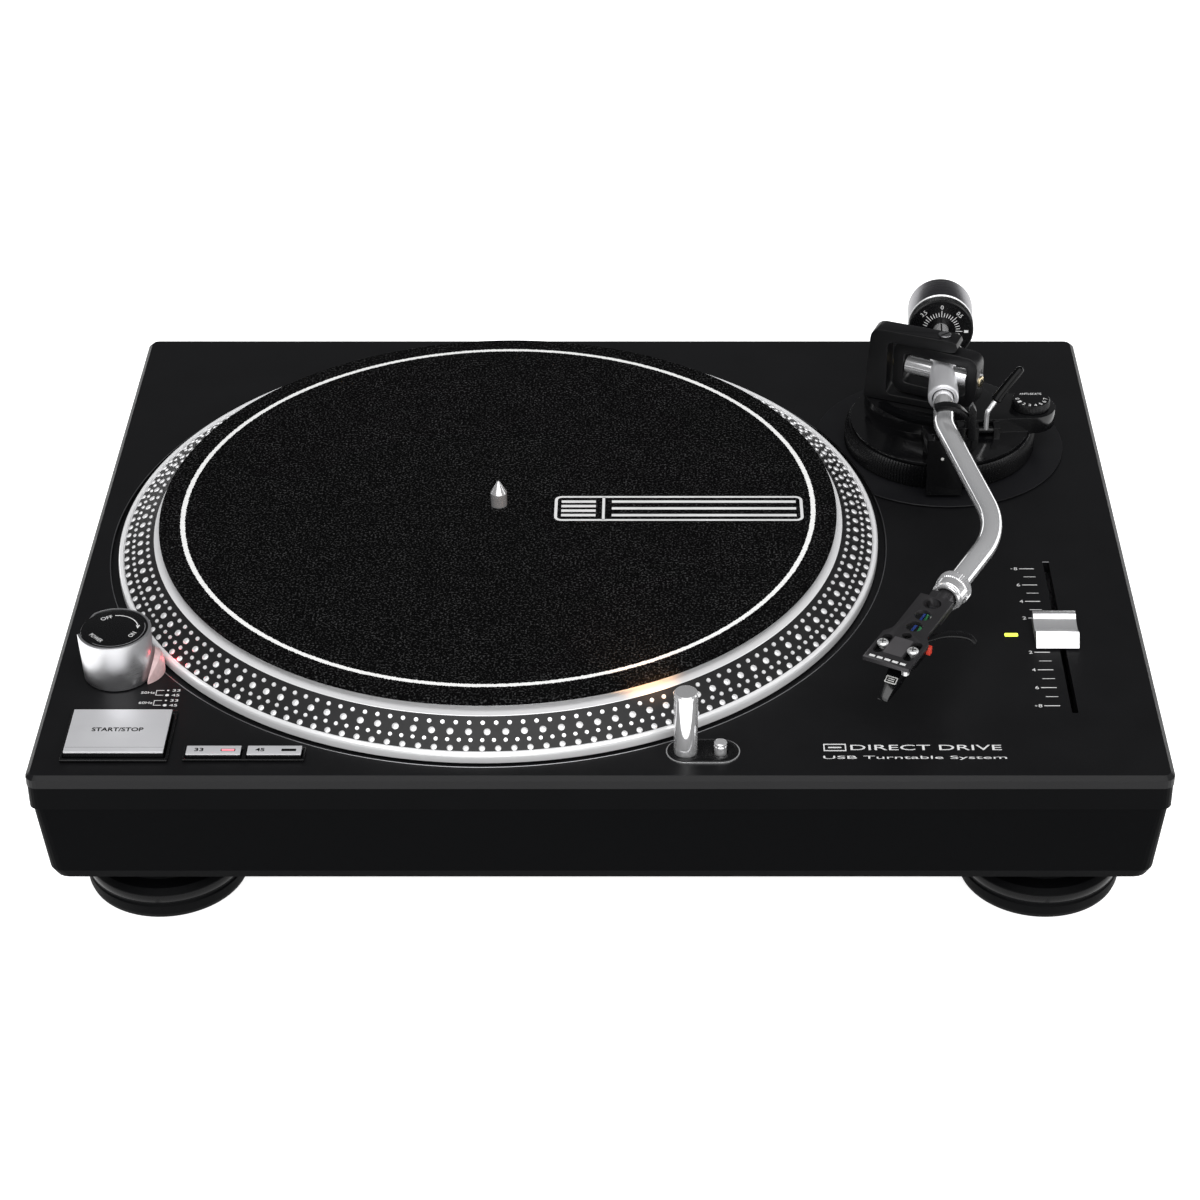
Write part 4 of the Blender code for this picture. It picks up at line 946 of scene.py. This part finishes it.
def make_headshell():
    refined("shell_plate", "headshell", SHELL_GREY, "arm", 0.22, 2)
    panel = prism(rounded_rectangle(4.0, 5.9, 0.3, 3, (0, -50.4)), 4.98, 5.06)
    piece("shell_panel", panel, PANEL_GREY, "arm", SHELL_ORIGIN, SHELL)
    screws, slots = [], []
    for x in (-6.5, 6.5):
        head = [(0, 2.6), (1.3, 2.6), (1.3, 4.6), (2.2, 4.6), (2.35, 5.5), (1.8, 6.1), (0, 6.3)]
        screws.append(moved(lathe(head, 40, 0.2), (x, -50.9, 0)))
        for turn in (20, 110):
            slots.append(moved(box(-1.3, 1.3, -0.2, 0.2, 6.05, 6.35), (x, -50.9, 0), rotation(turn, "Z")))
    piece("shell_screws", merged(screws), WHITE_METAL, "arm", SHELL_ORIGIN, SHELL)
    piece("shell_screw_slots", merged(slots), INK_BLACK, "arm", SHELL_ORIGIN, SHELL)
    dashes = [bar(-8.0 + 3.3 * k, -5.6 + 3.3 * k, -60.9, -59.6) for k in range(5)]
    piece("shell_dashes", moved(merged(dashes), (0, 0, 5.03)), INK_WHITE, "arm",
          SHELL_ORIGIN, SHELL)
    points = [(7.5, -36.4, 2.4), (12.9, -31.4, 2.9), (18.2, -29.2, 2.9), (21.8, -28.6, 2.3),
              (24.4, -28.9, 0.6)]
    curve = smooth_path(points, 8)
    rows = []
    for i, point in enumerate(curve):
        t = i / (len(curve) - 1)
        half = (2.8 - 1.7 * t) * (0.7 if t == 1 else 1)
        outline = rounded_rectangle(half, 0.5, 0.3, 3)
        rows.append([(point.x, point.y + a, point.z + b) for a, b in outline])
    piece("finger_lift_blade", loft(rows), TRIM_BLACK, "arm", SHELL_ORIGIN, SHELL,
          stands_for=("finger_lift",))
    refined("cartridge_body", "cartridge", TRIM_BLACK, "arm", 0.3, 2)
    refined("stylus_guard", "stylus_assembly", GLOSS_BLACK, "arm", 0.25, 2)
    patch = [ring_frame(-2.5, 2.5, -1.6, 1.6, 0.5, 0.5), bar(-1.4, 1.4, -0.65, -0.25),
             bar(-1.4, 1.4, 0.25, 0.65)]
    tilt = math.atan2(6.2, 12.0)
    place = (0, -56.2, -7.56)
    piece("stylus_patch", moved(merged(patch), place, Matrix.Rotation(tilt, 4, "X")), WHITE_PLASTIC, "arm",
          SHELL_ORIGIN, SHELL)
    side_screw = moved(lathe([(0, 0), (1.5, 0), (1.5, 1.4), (1.1, 1.9), (0, 2.0)], 24), (6.5, -57.4, -1.6))
    piece("cartridge_nut", side_screw, WHITE_METAL, "arm", SHELL_ORIGIN, SHELL)
    wires = (
        ("red", RED_WIRE, 3.6, 1.2),
        ("white", WHITE_PLASTIC, 1.3, 0.5),
        ("green", GREEN_WIRE, -1.3, 0.3),
        ("blue", BLUE_WIRE, -3.6, 1.0),
    )
    for color, finish, x, bow in wires:
        route = [(x, -32.5, -3.0), (x, -28.5, -3.0 + 0.6 * bow), (x * 0.8, -22.0, -1.2),
                 (x * 0.5, -17.5, 1.0)]
        wire = sweep(smooth_path(route, 8), 0.55, 12)
        piece(f"cartridge_wire_{color}", wire, finish, "arm", SHELL_ORIGIN, SHELL)
        pin = moved(lathe([(0, 0), (0.62, 0), (0.62, 2.6), (0, 2.6)], 16, 0.1), (x, -30.4, -3.0), ABOUT_X)
        piece(f"cartridge_clip_{color}", pin, GOLD, "arm", SHELL_ORIGIN, SHELL)
    terminal = box(8.2, 10.0, -41.6, -39.4, -2.0, 1.6, 0.3)
    piece("shell_terminal", terminal, RED_WIRE, "arm", SHELL_ORIGIN, SHELL)


# ---- feet and rear


def make_feet():
    for name, centre in FEET.items():
        r, low = 33.3, -80.0
        profile = [(0, low), (r - 2.4, low), (r - 0.6, low + 1.2), (r, low + 3.0), (r, low + 7.0),
                   (r - 0.5, low + 7.6)]
        profile += [(r - 0.5, low + 8.2), (r, low + 8.8), (r, low + 13.0), (r - 1.6, low + 15.4),
                    (r - 6, low + 17)]
        profile += [(r - 6, -56.5), (6.0, -56.5), (6.0, -47), (0, -47)]
        piece(name + "_moulding", lathe(profile, 144, 0.5), RUBBER, name, (*centre, 0),
              stands_for=(name,), sharp=40)
        ring = lathe([(r - 0.2, low + 9.0), (r + 0.05, low + 9.4), (r + 0.05, low + 12.4),
                      (r - 0.2, low + 12.8)], 144)
        piece(name + "_ring", ring, RUBBER_GLOSS, name, (*centre, 0))


def make_rear():
    paint(TRIM_BLACK, "phono_jacks", "power_inlet")
    paint(STEEL, "usb_port", "ground_terminal")
    for x, color, finish in ((53.5, "red", RED_WIRE), (70.5, "white", WHITE_PLASTIC)):
        sleeve = lathe([(2.7, -4.6), (4.2, -4.6), (4.2, 0.6), (2.7, 0.6)], 48, 0.2)
        piece(f"jack_sleeve_{color}", sleeve, finish, "chassis", (x, 347.2, -30), ABOUT_X)


FLOOR_HALF = 30.0
FLOOR_GLOW = 0.85
WORLD_STRENGTH = 0.14
SUN_ENERGY = 2.9
SUN_SPREAD = 80
SUN_LEAN = (40, 6)
CAMERA_PLACE = (0.022, -1.10525, 0.787)
CAMERA_TILT = 56.13


def add_light(name, kind, place, energy, aim=None, **settings):
    """A light at a place in the row frame, turned toward aim."""
    light = bpy.data.lights.new(name, kind)
    light.energy = energy
    for key, value in settings.items():
        setattr(light, key, value)
    obj = bpy.data.objects.new(name, light)
    obj.location = place
    if aim:
        obj.rotation_euler = (Vector(aim) - Vector(place)).to_track_quat("-Z", "Y").to_euler()
    bpy.context.scene.collection.objects.link(obj)
    return obj


def make_stage():
    scene = bpy.context.scene
    floor_mesh = bpy.data.meshes.new("floor")
    corners = [(x * FLOOR_HALF, y * FLOOR_HALF, 0) for x, y in ((-1, -1), (1, -1), (1, 1), (-1, 1))]
    floor_mesh.from_pydata(corners, [], [(0, 1, 2, 3)])
    floor = bpy.data.objects.new("floor", floor_mesh)
    scene.collection.objects.link(floor)
    paper = surface("floor_paper", (0.86, 0.86, 0.86), 0.9, specular=0.1, mottle=0.01, strength=0.0)
    shader = paper.node_tree.nodes["Principled BSDF"]
    shader.inputs["Emission Color"].default_value = (1.0, 1.0, 1.0, 1.0)
    shader.inputs["Emission Strength"].default_value = FLOOR_GLOW
    floor_mesh.materials.append(paper)

    world = bpy.data.worlds.new("studio")
    world.use_nodes = True
    background = world.node_tree.nodes["Background"]
    background.inputs["Color"].default_value = (0.97, 0.98, 1.0, 1.0)
    background.inputs["Strength"].default_value = WORLD_STRENGTH
    scene.world = world

    sun = add_light("soft_sun", "SUN", (0, 0, 0), SUN_ENERGY, angle=math.radians(SUN_SPREAD))
    sun.rotation_euler = (*(math.radians(a) for a in SUN_LEAN), 0)
    panel = {"shape": "RECTANGLE"}
    add_light("top_softbox", "AREA", (-0.1, -0.35, 1.5), 5.5, (0, 0, 0.1), size=1.5, size_y=0.9, **panel)
    add_light("right_strip", "AREA", (1.5, 0.1, 0.8), 2.5, (0.1, 0, 0.1), size=0.5, size_y=1.2, **panel)
    add_light("strobe_glow", "POINT", deck(-176.0, 76.0, 3.0), 0.004, color=(1.0, 0.08, 0.1),
              shadow_soft_size=0.002)
    add_light("target_glow", "SPOT", deck(30.5, 22.0, 23.0), 0.13, deck(12.0, 62.0, 12.0),
              color=(1.0, 0.52, 0.24), spot_size=math.radians(60), spot_blend=0.9, shadow_soft_size=0.002)

    camera = bpy.data.cameras.new("camera")
    camera.lens = 89.34
    camera.sensor_width = 36.0
    camera.shift_x = -0.0469
    camera_object = bpy.data.objects.new("camera", camera)
    camera_object.location = CAMERA_PLACE
    camera_object.rotation_euler = (math.radians(CAMERA_TILT), 0, 0)
    scene.collection.objects.link(camera_object)
    scene.camera = camera_object
    scene.view_settings.view_transform = "Standard"


make_plinth()
make_platter()
make_power_knob()
make_buttons()
make_target_light()
make_fader()
make_arm_base()
make_arm_rest()
make_gimbal()
make_arm()
make_counterweight()
make_headshell()
make_feet()
make_rear()
make_stage()
